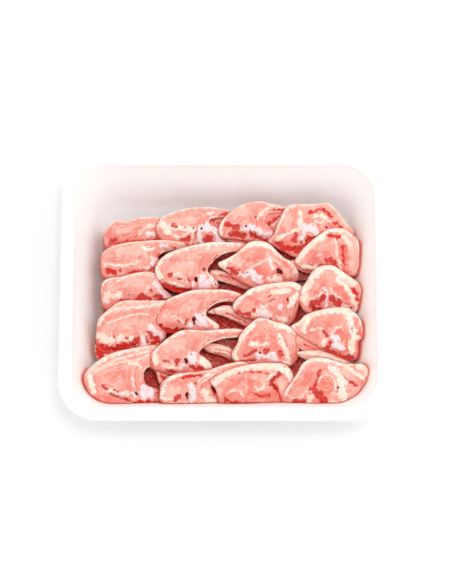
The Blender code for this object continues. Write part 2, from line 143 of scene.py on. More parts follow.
# The surface of a slice, in millimetres: rows of points along its edge, lumps as height and length,
# how far inside the edge its wall shows, the wall's ripple, and how the foot is drawn in.
EDGE_ROWS = (0.25, 0.7, 1.4, 2.2)
LUMP = (0.32, 13)
FINE_LUMP = (0.13, 4.2)
WALL_LOOK = 2.8
WALL_LOOK_SLOPE = 1.2
WALL_RIPPLE = 0.55
WALL_WAVE = 8
WALL_WAVE_SQUEEZE = 2.2
WALL_INSET = 0.35
FOOT_INSET = 0.35
FOOT_RISE = 0.3

# The same for a slice of the under layer, which has a rounded top edge and a few patches of fat,
# and how far above the under layer the upper slices end.
UNDER_LUMP = (0.5, 17)
UNDER_FINE_LUMP = (0.25, 5)
UNDER_SHOULDER = 3
UNDER_ROUND = 1.5
UNDER_EDGE_ROWS = (0.8,)
UNDER_BACK_GRAIN = 9.0
UNDER_FAT_WAVE = 21
UNDER_FAT = -1.5
UNDER_CLEARANCE = 0.1

# How a slice is pressed by the ones on it, in metres. A point less than SNAP_REACH inside a wall
# steeper than SNAP_STEEPNESS moves out on to that wall.
PRESS_GAP = 0.0003
SNAP_REACH = 0.0013
SNAP_STEEPNESS = 0.6
SNAP_GAP = 0.00005

# How near another slice the meat gets its painted red shade, and how near the meat the foam is stained,
# with painted pink light and shade there too, in metres.
CONTACT_SHADE_REACH = 0.005
STAIN_AND_SHADE_REACH = 0.028

# The mask of each zone: how ragged its edge is in millimetres, the scale of its rags, and how soft
# the edge is in millimetres. A seam lies in a groove that reaches GROOVE further, with its own mask.
MASKS = {
    "cap": (6.0, 240.0, 4.5), "pale": (6.0, 170.0, 4.0), "red": (5.0, 480.0, 2.0),
    "seam": (1.0, 380.0, 0.9), "fat": (5.5, 380.0, 2.6), "deep": (6.0, 420.0, 3.2),
    "bone": (4.2, 460.0, 2.2), "marrow": (3.6, 520.0, 1.2), "pit": (0.6, 600.0, 0.7),
}
GROOVE = 0.55
GROOVE_MASK = (1.6, 420.0, 1.0)

# Colours of the meat and the foam.
PALE = colour(246, 192, 178)
VEIN = colour(250, 218, 200)
RED = colour(212, 36, 25)
# Dark reds painted as shade: in the gaps between slices and low down their walls.
SHADE_RED_FIBRE = colour(222, 52, 40)
SHADE_RED_DEEP = colour(196, 20, 12)
# Red painted as shade where another slice lies on the meat.
CONTACT_SHADE_RED = colour(240, 98, 80)
# Redder meat on the walls, painted shade for the crevices between slices.
WALL_MEAT_SHADE_RED = colour(230, 100, 84)
FAT = colour(253, 244, 231)
FAT_PINK = colour(250, 228, 212)
BONE = colour(244, 231, 233)
BONE_PORE = colour(232, 190, 198)
MARROW = colour(222, 42, 32)
MARROW_DARK = colour(190, 26, 20)
# Near-black red painted as the shade in the hollows of the bone.
PIT_SHADE = colour(112, 16, 14)
FOAM_WHITE = colour(253, 252, 251)
FOAM_WARM = colour(251, 249, 247)
FOAM_SHADE = colour(243, 240, 238)
# Juice and blood stains, which also stand in as painted pink light from the meat and painted shade
# beside it.
FOAM_JUICE_AND_PINK_LIGHT = colour(254, 206, 196)
FOAM_BLOOD_AND_SHADE = colour(240, 102, 86)

# The meats: name of the material, then the lean, bright and cap tones.
MEATS = {
    "rib": ("rib_chop_meat", colour(231, 138, 124), colour(240, 173, 160), colour(231, 122, 108)),
    "loin": ("loin_chop_meat", colour(230, 132, 118), colour(239, 167, 154), colour(234, 112, 96)),
    "flank": ("flank_meat", colour(240, 146, 131), colour(248, 186, 171), colour(234, 112, 96)),
    # The under layer shows only in the gaps; its saturated dark red is painted shade.
    "under": ("under_meat", colour(224, 34, 24), colour(236, 72, 56), colour(212, 26, 18)),
}

# Uniform values of the shaders.
MEAT_SHADER = {
    "Specular IOR Level": 0.2, "Coat Weight": 0.2, "Coat Roughness": 0.12,
    "Subsurface Weight": 0.45, "Subsurface Radius": (1.0, 0.35, 0.22), "Subsurface Scale": 0.0035,
}
FOAM_SHADER = {
    "Subsurface Weight": 0.9, "Subsurface Radius": (1.0, 0.92, 0.88), "Subsurface Scale": 0.012,
}
FLOOR_SHADER = {"Base Color": colour(252, 252, 252), "Roughness": 0.8}

# The floor's half width, the room's light, and the lamps: place, width and power. Lengths are in
# metres and powers in watts, and the lamps face the tray's middle.
FLOOR_REACH = 3.0
ROOM_COLOUR = (1.0, 0.99, 0.98, 1.0)
ROOM_STRENGTH = 0.94
LAMPS = {
    "key_lamp": ((0.02, -0.3, 1.6), 0.4, 3.4),
    "fill_lamp": ((0.8, 0.25, 1.2), 0.6, 3.0),
}

# The camera: it looks from SIGHT degrees above the front, on to a point beside the mouth's middle.
AIM_RIGHT = 1.25
AIM_DOWN = 8.5
AIM_HEIGHT = 0.062
LENS = 200.0
SENSOR = 36.0
VIEW_WIDTH = 0.638

# The heap from the bottom up, as in the part: name, kind, its lean, how far its right end is tipped
# down, the middle of its backbone, and its outline clockwise from the left end.
HEAP = [
    ("flank_a2", "flank", REAR_LEAN, 3, None, [
        (-22, 62), (-14, 69), (-2, 72), (9, 71), (14, 65), (8, 58), (-2, 53), (-14, 55),
    ]),
    ("flank_a4", "flank", REAR_LEAN, 3, None, [
        (34, 68), (42, 76), (54, 78), (63, 74), (64, 65), (58, 56), (50, 50), (41, 53), (35, 60),
    ]),
    ("chop_a1", "rib", REAR_LEAN, 7, (-74, 50), [
        (-122, 40), (-121, 52), (-112, 64), (-100, 63), (-88, 67), (-69, 68), (-56, 63), (-52, 54),
        (-58, 43), (-76, 38), (-98, 37), (-115, 34),
    ]),
    ("chop_a2", "rib", REAR_LEAN, 8, (-15, 54), [
        (-69, 56), (-67, 62), (-62, 68), (-53, 72), (-41, 76), (-26, 78), (-12, 78), (1, 76),
        (11, 74), (8, 69), (-3, 68), (-14, 66), (-15, 61), (-7, 57), (0, 50), (2, 43), (-3, 37),
        (-20, 36), (-39, 36), (-55, 38), (-65, 44), (-69, 50),
    ]),
    ("flank_a3", "flank", REAR_LEAN, 3, None, [
        (1, 48), (11, 48), (25, 46), (37, 42), (45, 38), (33, 36), (15, 39), (3, 43),
    ]),
    ("chop_a3", "rib", REAR_LEAN, 7, (30, 55), [
        (-6, 52), (-5, 59), (-1, 66), (8, 74), (17, 80), (27, 83), (37, 84), (48, 82), (62, 80),
        (73, 77), (67, 72), (55, 73), (46, 72), (42, 67), (43, 61), (49, 55), (50, 47), (43, 42),
        (25, 43), (9, 45), (-2, 46),
    ]),
    ("chop_a4", "loin", REAR_LEAN, 0, (87, 55), [
        (44, 42), (50, 51), (54, 61), (59, 72), (63, 78), (70, 81), (87, 81), (105, 82), (112, 77),
        (119, 69), (126, 60), (131, 53), (127, 44), (115, 38), (100, 35), (84, 30), (72, 27),
        (61, 32), (52, 37),
    ]),
    ("chop_b1", "rib", LEAN, 8, (-72, 21), [
        (-125, 18), (-124, 28), (-117, 36), (-100, 41), (-83, 43), (-65, 44), (-46, 43), (-28, 41),
        (-33, 36), (-51, 34), (-62, 31), (-67, 26), (-64, 20), (-67, 12), (-80, 8), (-97, 5),
        (-113, 2), (-123, 7),
    ]),
    ("chop_b2", "rib", LEAN, 8, (-20, 0), [
        (-70, 13), (-68, 20), (-63, 26), (-56, 31), (-48, 34), (-38, 37), (-25, 40), (-12, 42),
        (3, 42), (18, 41), (31, 37), (22, 33), (7, 32), (-6, 27), (-13, 20), (-17, 13), (-12, 8),
        (-6, 0), (-8, -8), (-17, -12), (-35, -12), (-51, -8), (-63, -2), (-69, 5),
    ]),
    ("flank_b2", "flank", LEAN, 3, None, [
        (-14, 13), (-3, 13), (13, 7), (33, -1), (39, -6), (25, -7), (7, -1), (-12, 5),
    ]),
    ("chop_b3", "loin", LEAN, 5, (30, 4), [
        (-6, 21), (2, 25), (11, 30), (18, 36), (24, 41), (31, 43), (41, 42), (48, 38), (54, 32),
        (61, 26), (69, 22), (74, 15), (76, 7), (72, 1), (61, -2), (50, -5), (37, -7), (23, -2),
        (11, 5), (2, 12), (-5, 17),
    ]),
    ("flank_b3", "flank", LEAN, 2, None, [
        (67, 23), (77, 24), (89, 21), (101, 16), (104, 10), (91, 9), (79, 12), (70, 17),
    ]),
    ("chop_b4", "loin", LEAN, -1, (107, 22), [
        (71, 23), (75, 30), (85, 41), (98, 51), (105, 55), (114, 56), (122, 55), (128, 50),
        (134, 45), (136, 37), (136, 26), (136, 16), (132, 8), (120, 7), (103, 11), (87, 13),
        (76, 16),
    ]),
    ("chop_c1", "rib", LEAN, 7, (-68, -4), [
        (-124, -10), (-123, 0), (-117, 5), (-104, 7), (-92, 10), (-79, 12), (-70, 10), (-66, 3),
        (-62, -4), (-54, -11), (-50, -17), (-60, -21), (-78, -22), (-97, -23), (-113, -28),
        (-122, -24),
    ]),
    ("chop_c2", "rib", LEAN, 8, (-23, -40), [
        (-70, -39), (-69, -31), (-66, -24), (-57, -16), (-48, -12), (-37, -8), (-26, -6),
        (-12, -6), (1, -6), (15, -9), (27, -16), (18, -19), (9, -18), (-1, -18), (-10, -21),
        (-17, -27), (-18, -32), (-13, -36), (-5, -42), (-7, -48), (-17, -51), (-35, -50),
        (-53, -50), (-66, -46),
    ]),
    ("flank_c2", "flank", LEAN, 3, None, [
        (-17, -29), (-8, -24), (3, -22), (13, -26), (25, -33), (36, -40), (39, -46), (25, -45),
        (11, -38), (-3, -32),
    ]),
    ("chop_c3", "rib", LEAN, 6, (39, -30), [
        (8, -24), (13, -15), (19, -11), (25, -6), (35, -2), (45, 0), (56, 1), (67, 2), (75, 0),
        (80, -5), (79, -12), (76, -19), (74, -28), (71, -36), (64, -43), (55, -44), (43, -40),
        (29, -36), (15, -32),
    ]),
    ("chop_c4", "loin", LEAN, -1, (100, -12), [
        (75, -13), (78, -4), (82, 2), (89, 13), (98, 18), (109, 18), (116, 14), (123, 9),
        (133, 2), (137, -5), (137, -14), (135, -24), (128, -31), (115, -31), (97, -31),
        (83, -30), (76, -22),
    ]),
    ("flank_d1", "flank", LEAN, 4, None, [
        (-130, -64), (-126, -57), (-111, -56), (-93, -60), (-90, -68), (-101, -76), (-116, -82),
        (-127, -76),
    ]),
    ("chop_d1", "rib", LEAN, 8, (-72, -46), [
        (-128, -47), (-126, -36), (-117, -27), (-108, -20), (-99, -17), (-85, -17), (-70, -17),
        (-53, -17), (-38, -20), (-46, -25), (-60, -28), (-67, -32), (-69, -38), (-64, -44),
        (-58, -50), (-60, -57), (-68, -64), (-85, -68), (-105, -68), (-120, -67), (-128, -59),
    ]),
    ("chop_e1", "rib", LOW_LEAN, 12, (-78, -107), [
        (-140, -96), (-137, -88), (-129, -80), (-119, -73), (-107, -68), (-95, -65), (-82, -62),
        (-69, -60), (-57, -63), (-49, -72), (-47, -86), (-51, -99), (-60, -101), (-65, -95),
        (-67, -87), (-73, -82), (-79, -86), (-80, -94), (-76, -101), (-66, -104), (-59, -112),
        (-65, -121), (-86, -123), (-107, -122), (-125, -118), (-135, -110),
    ]),
    ("chop_d2", "rib", LEAN, 8, (-33, -77), [
        (-73, -76), (-72, -69), (-62, -59), (-54, -53), (-46, -48), (-36, -46), (-21, -47),
        (-7, -46), (8, -45), (20, -46), (27, -51), (13, -54), (1, -55), (-13, -59), (-22, -65),
        (-25, -70), (-19, -74), (-12, -82), (-15, -90), (-29, -92), (-45, -92), (-60, -89),
        (-72, -85),
    ]),
    ("flank_d2", "flank", LEAN, 3, None, [
        (-23, -61), (-11, -60), (2, -63), (13, -69), (19, -76), (8, -77), (-4, -72), (-17, -68),
    ]),
    ("chop_d3", "loin", LEAN, 5, (46, -72), [
        (7, -72), (9, -66), (13, -60), (15, -53), (20, -46), (26, -40), (33, -35), (41, -35),
        (50, -38), (61, -41), (70, -46), (75, -52), (76, -61), (75, -70), (72, -78), (65, -83),
        (52, -82), (37, -81), (22, -81), (11, -79),
    ]),
    ("flank_d3", "flank", LEAN, 2, None, [
        (71, -52), (81, -54), (91, -60), (102, -67), (111, -74), (101, -79), (89, -72),
        (78, -67), (71, -60),
    ]),
    ("chop_d4", "loin", LEAN, -2, (111, -62), [
        (66, -43), (74, -38), (80, -32), (87, -29), (98, -26), (109, -24), (120, -24), (127, -27),
        (133, -32), (137, -40), (138, -52), (134, -59), (134, -68), (131, -76), (120, -77),
        (110, -72), (100, -67), (91, -62), (81, -56), (72, -50),
    ]),
    ("chop_e2", "rib", LEAN, 8, (-31, -108), [
        (-64, -109), (-63, -101), (-58, -95), (-51, -91), (-41, -89), (-28, -88), (-15, -86),
        (-3, -82), (9, -79), (21, -78), (27, -83), (13, -87), (1, -92), (-10, -98), (-12, -105),
        (-5, -112), (-2, -119), (-8, -124), (-20, -124), (-40, -124), (-57, -122), (-64, -116),
    ]),
    ("flank_e3", "flank", LEAN, -2, None, [
        (71, -70), (81, -67), (93, -67), (105, -70), (118, -75), (127, -81), (121, -86),
        (109, -82), (97, -78), (83, -77),
    ]),
    ("chop_e3", "loin", LEAN, 5, (12, -115), [
        (-14, -98), (-11, -94), (-6, -91), (2, -87), (13, -83), (29, -80), (45, -79), (59, -80),
        (65, -84), (69, -91), (70, -102), (67, -114), (61, -123), (37, -124), (13, -124),
        (-3, -121), (-7, -112), (-9, -105),
    ]),
    ("chop_e4", "loin", LEAN, -5, (85, -114), [
        (57, -111), (61, -104), (66, -98), (72, -89), (76, -81), (82, -76), (89, -74), (98, -74),
        (109, -77), (120, -80), (130, -80), (138, -81), (143, -87), (142, -96), (137, -107),
        (127, -117), (118, -123), (100, -124), (79, -124), (63, -123), (56, -118),
    ]),
]

# What shows on each cut face, on the grid of squares: zone, half its width in squares, and the
# points that it runs through. One point makes a round spot.
MARKS = {
    "chop_a1": [
        ("cap", 2.6, [(-119, 50), (-113, 58), (-102, 60), (-90, 63), (-80, 65), (-66, 65)]),
        ("cap", 8.0, [(-110, 46), (-92, 50), (-68, 54)]),
        ("seam", 0.5, [(-114, 53), (-109, 57), (-100, 59), (-90, 62), (-80, 63)]),
        ("fat", 1.0, [(-87, 48), (-85, 53), (-80, 57)]),
        ("fat", 1.6, [(-78, 58), (-73, 59)]),
        ("pale", 3.0, [(-108, 53), (-96, 55)]),
        ("bone", 2.7, [(-78, 50), (-72, 50)]),
        ("marrow", 2.2, [(-115, 43), (-111, 44)]),
        ("red", 1.4, [(-117, 40), (-108, 40), (-98, 42), (-87, 43), (-76, 43), (-65, 45), (-58, 46)]),
    ],
    "chop_a2": [
        ("fat", 3.6, [(-66, 58), (-61, 59), (-58, 52)]),
        ("cap", 2.2, [(-38, 73), (-30, 75), (-16, 76), (2, 74)]),
        ("seam", 0.5, [(-56, 64), (-42, 71), (-26, 73), (-14, 72)]),
        ("seam", 0.4, [(-54, 61), (-40, 68), (-25, 70)]),
        ("red", 0.9, [(-29, 77)]),
        ("fat", 1.2, [(-17, 71), (-12, 72)]),
        ("pale", 5.0, [(-46, 62), (-34, 66)]),
        ("red", 2.4, [(-10, 65), (-4, 69), (2, 72)]),
        ("fat", 2.9, [(-56, 57), (-48, 56), (-40, 55), (-32, 55)]),
        ("marrow", 2.0, [(-53, 58.5), (-50, 57)]),
        ("marrow", 1.5, [(-41, 56)]),
        ("fat", 1.3, [(-55, 50), (-48, 46), (-41, 48), (-38, 51)]),
        ("red", 2.2, [(-44, 43), (-37, 47), (-34, 42)]),
        ("pit", 0.8, [(-31.8, 56)]),
        ("fat", 0.9, [(-32, 53), (-33, 46), (-34, 40)]),
        ("red", 1.1, [(-29.5, 52), (-28, 46), (-26, 40)]),
        ("bone", 4.4, [(-24, 56), (-18, 58), (-10, 55), (-6, 49), (-4, 43)]),
        ("bone", 2.6, [(-27, 50), (-25, 42)]),
        ("pit", 0.7, [(-21, 60.6)]),
        ("pit", 1.2, [(-23.5, 56)]),
        ("marrow", 3.4, [(-18.5, 46), (-15, 46)]),
        ("marrow", 3.2, [(-18.3, 42), (-15, 42.5)]),
    ],
    "chop_a3": [
        ("fat", 1.7, [(-4, 50), (-4, 58), (-2, 66), (3, 73), (11, 79)]),
        ("cap", 3.0, [(22, 79), (31, 81), (39, 79)]),
        ("pale", 5.0, [(12, 70), (20, 73)]),
        ("fat", 1.7, [(34, 67), (39, 73), (44, 77)]),
        ("fat", 1.1, [(44, 80), (56, 78.5), (69, 77)]),
        ("red", 2.0, [(47, 74), (55, 75), (63, 75)]),
        ("pit", 0.7, [(31.4, 67.3)]),
        ("cap", 3.4, [(37, 63), (42, 59)]),
        ("seam", 0.5, [(28, 62), (33, 66), (38, 68)]),
        ("pale", 1.6, [(43, 63), (47, 57)]),
        ("marrow", 3.0, [(3, 59), (8, 57.5), (13, 57)]),
        ("bone", 3.4, [(22, 57), (30, 56), (35, 53)]),
        ("bone", 2.1, [(35, 51), (41, 49), (48, 52)]),
        ("fat", 1.4, [(16, 56), (20, 54)]),
        ("pit", 1.1, [(20.8, 58.2)]),
        ("deep", 2.7, [(6, 50), (13, 50), (20, 48)]),
        ("deep", 2.4, [(27, 50), (35, 46.5), (42, 44.5)]),
        ("seam", 0.6, [(22, 52), (25, 47)]),
    ],
    "chop_a4": [
        ("fat", 1.9, [(46, 44), (51, 54), (56, 63), (60, 72), (64, 78), (70, 80)]),
        ("cap", 3.6, [(69, 72), (74, 77)]),
        ("pale", 4.0, [(62, 58), (66, 66)]),
        ("fat", 1.8, [(76, 73), (77.5, 67), (76, 60)]),
        ("cap", 3.0, [(84, 64), (92, 60)]),
        ("red", 1.7, [(86, 72), (92, 74), (98, 76), (103, 73), (108, 68)]),
        ("fat", 2.0, [(91, 68), (97, 69), (101, 67), (105, 64)]),
        ("fat", 1.5, [(93, 62), (100, 62)]),
        ("pit", 0.9, [(104.6, 65)]),
        ("pit", 1.0, [(102.5, 57)]),
        ("red", 1.9, [(112, 62), (117.5, 59)]),
        ("cap", 4.0, [(109, 57), (118, 52)]),
        ("pale", 4.0, [(114, 67), (122, 58)]),
        ("bone", 4.6, [(81, 56), (87, 56.5), (92, 53)]),
        ("bone", 2.5, [(80.5, 51), (78, 45)]),
        ("pale", 1.0, [(88, 57)]),
        ("fat", 1.9, [(53, 44.5), (61, 50), (71, 52.5), (76, 55)]),
        ("marrow", 3.2, [(72.5, 48.5), (70, 44)]),
        ("red", 3.6, [(55, 41), (60, 37), (66, 35)]),
        ("cap", 3.0, [(64, 42), (70, 38)]),
        ("deep", 3.0, [(84, 44), (91, 46), (98, 48)]),
        ("deep", 4.0, [(73, 34), (80, 38), (86, 40)]),
    ],
    "chop_b1": [
        ("seam", 0.5, [(-121, 27), (-109, 37), (-88, 40.5), (-68, 41)]),
        ("cap", 4.5, [(-112, 26), (-96, 31), (-86, 27)]),
        ("pale", 8.0, [(-104, 33), (-84, 34)]),
        ("fat", 1.4, [(-84, 37), (-78, 33), (-72, 35)]),
        ("bone", 1.8, [(-78, 34.5)]),
        ("bone", 1.9, [(-64, 38), (-57, 38)]),
        ("pale", 2.5, [(-50, 38), (-38, 39)]),
        ("red", 1.5, [(-67, 28), (-60, 32), (-50, 35.5)]),
        ("bone", 3.0, [(-74, 21), (-70, 21)]),
        ("fat", 1.6, [(-67.5, 24), (-74, 26)]),
        ("fat", 1.2, [(-116, 19), (-102, 17.5), (-91, 20), (-85, 24)]),
        ("seam", 0.5, [(-113, 24), (-101, 25), (-92, 27)]),
        ("fat", 2.2, [(-120, 19)]),
        ("marrow", 2.1, [(-105, 14)]),
        ("red", 3.0, [(-117, 13), (-112, 11)]),
        ("fat", 2.0, [(-83, 17), (-79, 16)]),
        ("red", 1.2, [(-98, 10), (-90, 12), (-80, 13), (-70, 15)]),
        ("cap", 2.0, [(-120, 10), (-118, 4)]),
    ],
    "chop_b2": [
        ("fat", 1.9, [(-69, 16), (-62, 25), (-50, 32), (-36, 36.5), (-22, 39.5), (-4, 41), (16, 40)]),
        ("pale", 3.0, [(-46, 29), (-20, 35), (0, 36), (14, 37)]),
        ("fat", 1.5, [(-16, 35)]),
        ("seam", 0.5, [(-54, 25), (-38, 31), (-22, 34)]),
        ("seam", 0.6, [(-16, 18), (-14.5, 24), (-9, 29), (0, 32.5), (12, 34.5)]),
        ("red", 0.7, [(-15, 18), (-13, 23), (-7, 28), (2, 31)]),
        ("pale", 6.0, [(-50, 14), (-36, 20)]),
        ("fat", 3.2, [(-68, 13), (-67, 8), (-65, 4)]),
        ("marrow", 2.3, [(-57, 8.5), (-53.5, 9)]),
        ("fat", 0.8, [(-52, 9.5), (-46, 7), (-42, 2)]),
        ("fat", 0.7, [(-48, 10), (-41, 7), (-37, 1)]),
        ("fat", 1.5, [(-55, 1), (-48, -2), (-42, -3)]),
        ("marrow", 1.3, [(-47.5, 5), (-43.5, 3.5)]),
        ("marrow", 1.0, [(-38, 5), (-35, 2)]),
        ("cap", 1.8, [(-40, 10), (-36, 5)]),
        ("pit", 1.3, [(-29, 5), (-28.2, 2.6)]),
        ("bone", 3.2, [(-32, -0.5)]),
        ("bone", 5.6, [(-22, 4), (-20, -3)]),
        ("marrow", 2.3, [(-20.5, 15)]),
        ("fat", 2.1, [(-17, 12), (-13, 4), (-10, -2)]),
        ("fat", 2.3, [(-8, 2), (-3, 0)]),
        ("pit", 0.9, [(-9, -1)]),
        ("deep", 3.6, [(-64, -1), (-56, -5), (-46, -7.5), (-37, -7.5)]),
    ],
    "chop_b3": [
        ("fat", 3.0, [(-2, 20), (11, 31), (23, 38.5), (34, 40.5), (43, 38.5), (53, 32), (63, 25),
                      (71, 20)]),
        ("fat", 3.0, [(71, 20), (73, 12)]),
        ("fat", 2.4, [(-3, 20), (1, 16)]),
        ("cap", 6.0, [(20, 30), (28, 27), (37, 31)]),
        ("pale", 4.5, [(10, 25), (14, 21)]),
        ("fat", 0.8, [(22, 13), (29, 17), (38, 22), (46, 26)]),
        ("fat", 0.7, [(42, 30), (50, 24), (56, 20)]),
        ("cap", 4.6, [(33, 15), (40, 12), (38, 5)]),
        ("bone", 2.4, [(46, 22), (48, 16)]),
        ("marrow", 2.2, [(4, 15), (10, 12.5), (15, 14)]),
        ("marrow", 2.0, [(8, 11), (13, 10)]),
        ("fat", 1.9, [(15, 10), (20, 7)]),
        ("pit", 0.8, [(22.5, 11)]),
        ("bone", 4.4, [(25, 11), (29, 9), (34, 4)]),
        ("pit", 1.7, [(55, 14), (57, 10.5)]),
        ("fat", 3.4, [(46, 3), (52, 5.5), (56, 3)]),
        ("cap", 2.0, [(59, 5), (69, 5)]),
        ("cap", 1.3, [(56, 25), (63, 18), (66, 12)]),
        ("pale", 3.2, [(60, 14), (66, 9)]),
    ],
    "chop_b4": [
        ("fat", 3.7, [(73, 24), (82, 35), (91, 43), (99, 49)]),
        ("fat", 2.0, [(99, 51), (107, 54), (116, 54), (124, 51)]),
        ("fat", 2.4, [(80, 17), (87, 17), (93, 17)]),
        ("red", 2.6, [(106, 49), (114, 47)]),
        ("cap", 3.5, [(89, 30), (93, 25)]),
        ("fat", 1.1, [(111.5, 45), (113, 30), (116, 20), (118, 12)]),
        ("red", 1.7, [(119.5, 37), (119.5, 28), (121, 19)]),
        ("cap", 5.0, [(119, 38), (119, 26), (122, 14)]),
        ("marrow", 3.2, [(104, 24), (109, 22), (111, 16)]),
        ("fat", 2.6, [(121, 46), (126, 40)]),
        ("pale", 5.5, [(130, 40), (131, 26), (131, 15)]),
        ("cap", 1.1, [(127, 46), (134, 41)]),
        ("cap", 0.9, [(133, 33), (132, 22)]),
        ("red", 1.6, [(86, 19), (95, 18), (104, 17)]),
        ("red", 2.4, [(110, 12), (120, 10)]),
    ],
    "chop_c1": [
        ("cap", 2.2, [(-122, 4), (-122, -6)]),
        ("pale", 3.0, [(-115, 1), (-117, -6)]),
        ("fat", 0.9, [(-109, 1.5), (-102, 6), (-95, 8.5), (-81, 10.5), (-72, 7)]),
        ("seam", 0.6, [(-121, -8), (-113, -1), (-107, 3)]),
        ("pale", 5.0, [(-98, 2), (-84, 2)]),
        ("fat", 3.2, [(-119, -12), (-111, -13.5), (-106, -12)]),
        ("fat", 2.2, [(-122, -16), (-118, -19)]),
        ("pit", 0.8, [(-97, -11.7)]),
        ("bone", 2.4, [(-70, 0), (-68, -3), (-64, -9), (-58, -14)]),
        ("fat", 1.2, [(-84, -10), (-79, -8), (-77, -4)]),
        ("marrow", 1.8, [(-74, -7.5)]),
        ("marrow", 3.4, [(-87, -16), (-83, -12.5), (-80, -16)]),
        ("marrow", 2.6, [(-70, -13.5), (-65, -13)]),
        ("deep", 1.6, [(-75, -15)]),
        ("red", 1.1, [(-106, -17), (-96, -17.5), (-89, -18)]),
        ("deep", 1.0, [(-68, -17), (-60, -17), (-54, -15)]),
        ("cap", 3.0, [(-116, -23), (-108, -23)]),
    ],
    "chop_c2": [
        ("fat", 1.2, [(-69, -30), (-64, -20), (-53, -13)]),
        ("fat", 2.0, [(-53, -13.5), (-38, -9), (-24, -7), (-10, -6.5), (4, -7), (17, -11.5)]),
        ("cap", 2.7, [(-30, -13), (-14, -11.5), (0, -10), (13, -12.5)]),
        ("cap", 4.0, [(-58, -25), (-50, -20)]),
        ("pale", 3.0, [(-62, -32.5)]),
        ("pale", 4.0, [(-40, -26), (-30, -21)]),
        ("fat", 0.7, [(-55, -33), (-47, -38)]),
        ("fat", 0.6, [(-50, -33), (-43, -39)]),
        ("fat", 0.7, [(-45, -34), (-40, -42)]),
        ("marrow", 1.0, [(-48, -37), (-45.5, -38.5)]),
        ("marrow", 1.1, [(-37.5, -36), (-40, -41)]),
        ("cap", 3.0, [(-58, -41), (-48, -43)]),
        ("pit", 1.6, [(-31, -36.5), (-30.2, -40.5)]),
        ("bone", 3.0, [(-35, -43)]),
        ("bone", 5.3, [(-24.5, -34.5), (-22.5, -40)]),
        ("fat", 1.6, [(-20, -29), (-15, -32)]),
        ("fat", 3.2, [(-14, -37), (-9, -41), (-7, -44)]),
        ("pit", 0.7, [(-22.3, -32.5)]),
        ("seam", 0.6, [(-20, -26), (-15, -20), (-7, -16), (6, -15), (14, -16)]),
        ("red", 0.8, [(-18, -25), (-13, -20), (-6, -17.5), (6, -17)]),
        ("deep", 2.8, [(-66, -44), (-58, -48), (-46, -48), (-38, -48)]),
    ],
    "chop_c3": [
        ("fat", 2.3, [(10, -23), (14, -16), (21, -10), (32, -6), (43, -3), (55, -1)]),
        ("fat", 3.0, [(55, -1), (66, 0), (74, -2), (78, -7)]),
        ("seam", 0.5, [(35, -9), (46, -6), (58, -4)]),
        ("fat", 3.0, [(48, -8.5), (58, -8), (65, -7)]),
        ("cap", 2.0, [(69, -6), (74, -7)]),
        ("cap", 4.0, [(24, -15), (33, -19)]),
        ("red", 0.9, [(43, -13), (48, -11.5)]),
        ("red", 1.0, [(44, -19), (49, -15)]),
        ("fat", 0.9, [(38, -25), (45, -19.5)]),
        ("marrow", 1.8, [(13, -28), (19, -31), (24, -31), (29, -27)]),
        ("fat", 2.2, [(29, -32), (32, -32)]),
        ("bone", 4.3, [(35, -27.5), (39, -30), (43, -32.5)]),
        ("red", 1.0, [(42, -31), (44.5, -35), (46, -37)]),
        ("cap", 3.0, [(52, -30), (57, -31)]),
        ("bone", 3.2, [(55, -23)]),
        ("cap", 2.8, [(47.5, -24)]),
        ("pit", 1.2, [(63.5, -16.5)]),
        ("fat", 3.5, [(73, -12), (69, -16), (66, -22)]),
        ("red", 0.7, [(73.5, -16), (71, -22)]),
        ("fat", 2.9, [(54, -35), (61, -37)]),
        ("seam", 0.6, [(57, -26), (60, -32)]),
        ("cap", 2.3, [(75, -26), (68, -34), (60, -40)]),
    ],
    "chop_c4": [
        ("fat", 3.2, [(80, -20), (79, -10), (84, -1), (90, 8), (97, 14)]),
        ("fat", 1.9, [(97, 15.5), (106, 17), (115, 13)]),
        ("fat", 1.2, [(81, -10), (85, -16), (92, -14.5), (98, -9)]),
        ("cap", 4.0, [(94, 5), (99, -1)]),
        ("pale", 2.0, [(103, 11), (108, 8)]),
        ("fat", 3.2, [(113, 11), (121, 6), (130, 0)]),
        ("fat", 2.4, [(113.5, 3), (122, -2), (126, -10), (131, -20), (132, -27)]),
        ("cap", 5.0, [(114, -8), (119, -12)]),
        ("fat", 1.0, [(106, -5), (110, -12), (117, -15)]),
        ("bone", 1.7, [(100, -5), (103, -11.5), (102.5, -20), (102, -27)]),
        ("pit", 1.0, [(101, -9)]),
        ("marrow", 3.4, [(87, -22), (94, -19), (99, -13.5)]),
        ("marrow", 3.6, [(107, -15), (111, -18.5), (116, -21)]),
        ("red", 2.3, [(128, -5), (131, -9), (133, -15)]),
        ("cap", 2.4, [(124, -18), (127, -22)]),
        ("fat", 1.0, [(118, -22), (125, -25)]),
        ("deep", 1.6, [(88, -26), (96, -25.5)]),
        ("pit", 1.0, [(127.4, -24.5)]),
    ],
    "chop_d1": [
        ("fat", 1.3, [(-119, -31), (-111, -26), (-102, -24.5), (-88, -24), (-76, -22.5), (-62, -20)]),
        ("fat", 2.0, [(-126, -41), (-122, -34)]),
        ("cap", 2.9, [(-123, -40), (-115, -34), (-102, -31), (-91, -29), (-84, -28)]),
        ("cap", 2.0, [(-73, -27), (-68, -27)]),
        ("fat", 0.8, [(-117, -40), (-106, -35.5), (-95, -31.5), (-84, -30), (-77, -31.5)]),
        ("pale", 4.0, [(-100, -42), (-88, -38)]),
        ("cap", 1.3, [(-69, -30), (-70, -37)]),
        ("fat", 3.7, [(-125, -53), (-119, -57), (-114, -57)]),
        ("fat", 2.6, [(-108, -57), (-104, -53), (-97, -57), (-93, -54)]),
        ("marrow", 1.8, [(-111, -54)]),
        ("marrow", 1.4, [(-99.5, -54.5), (-98, -55)]),
        ("marrow", 3.2, [(-91, -59), (-87, -55.5), (-87, -60)]),
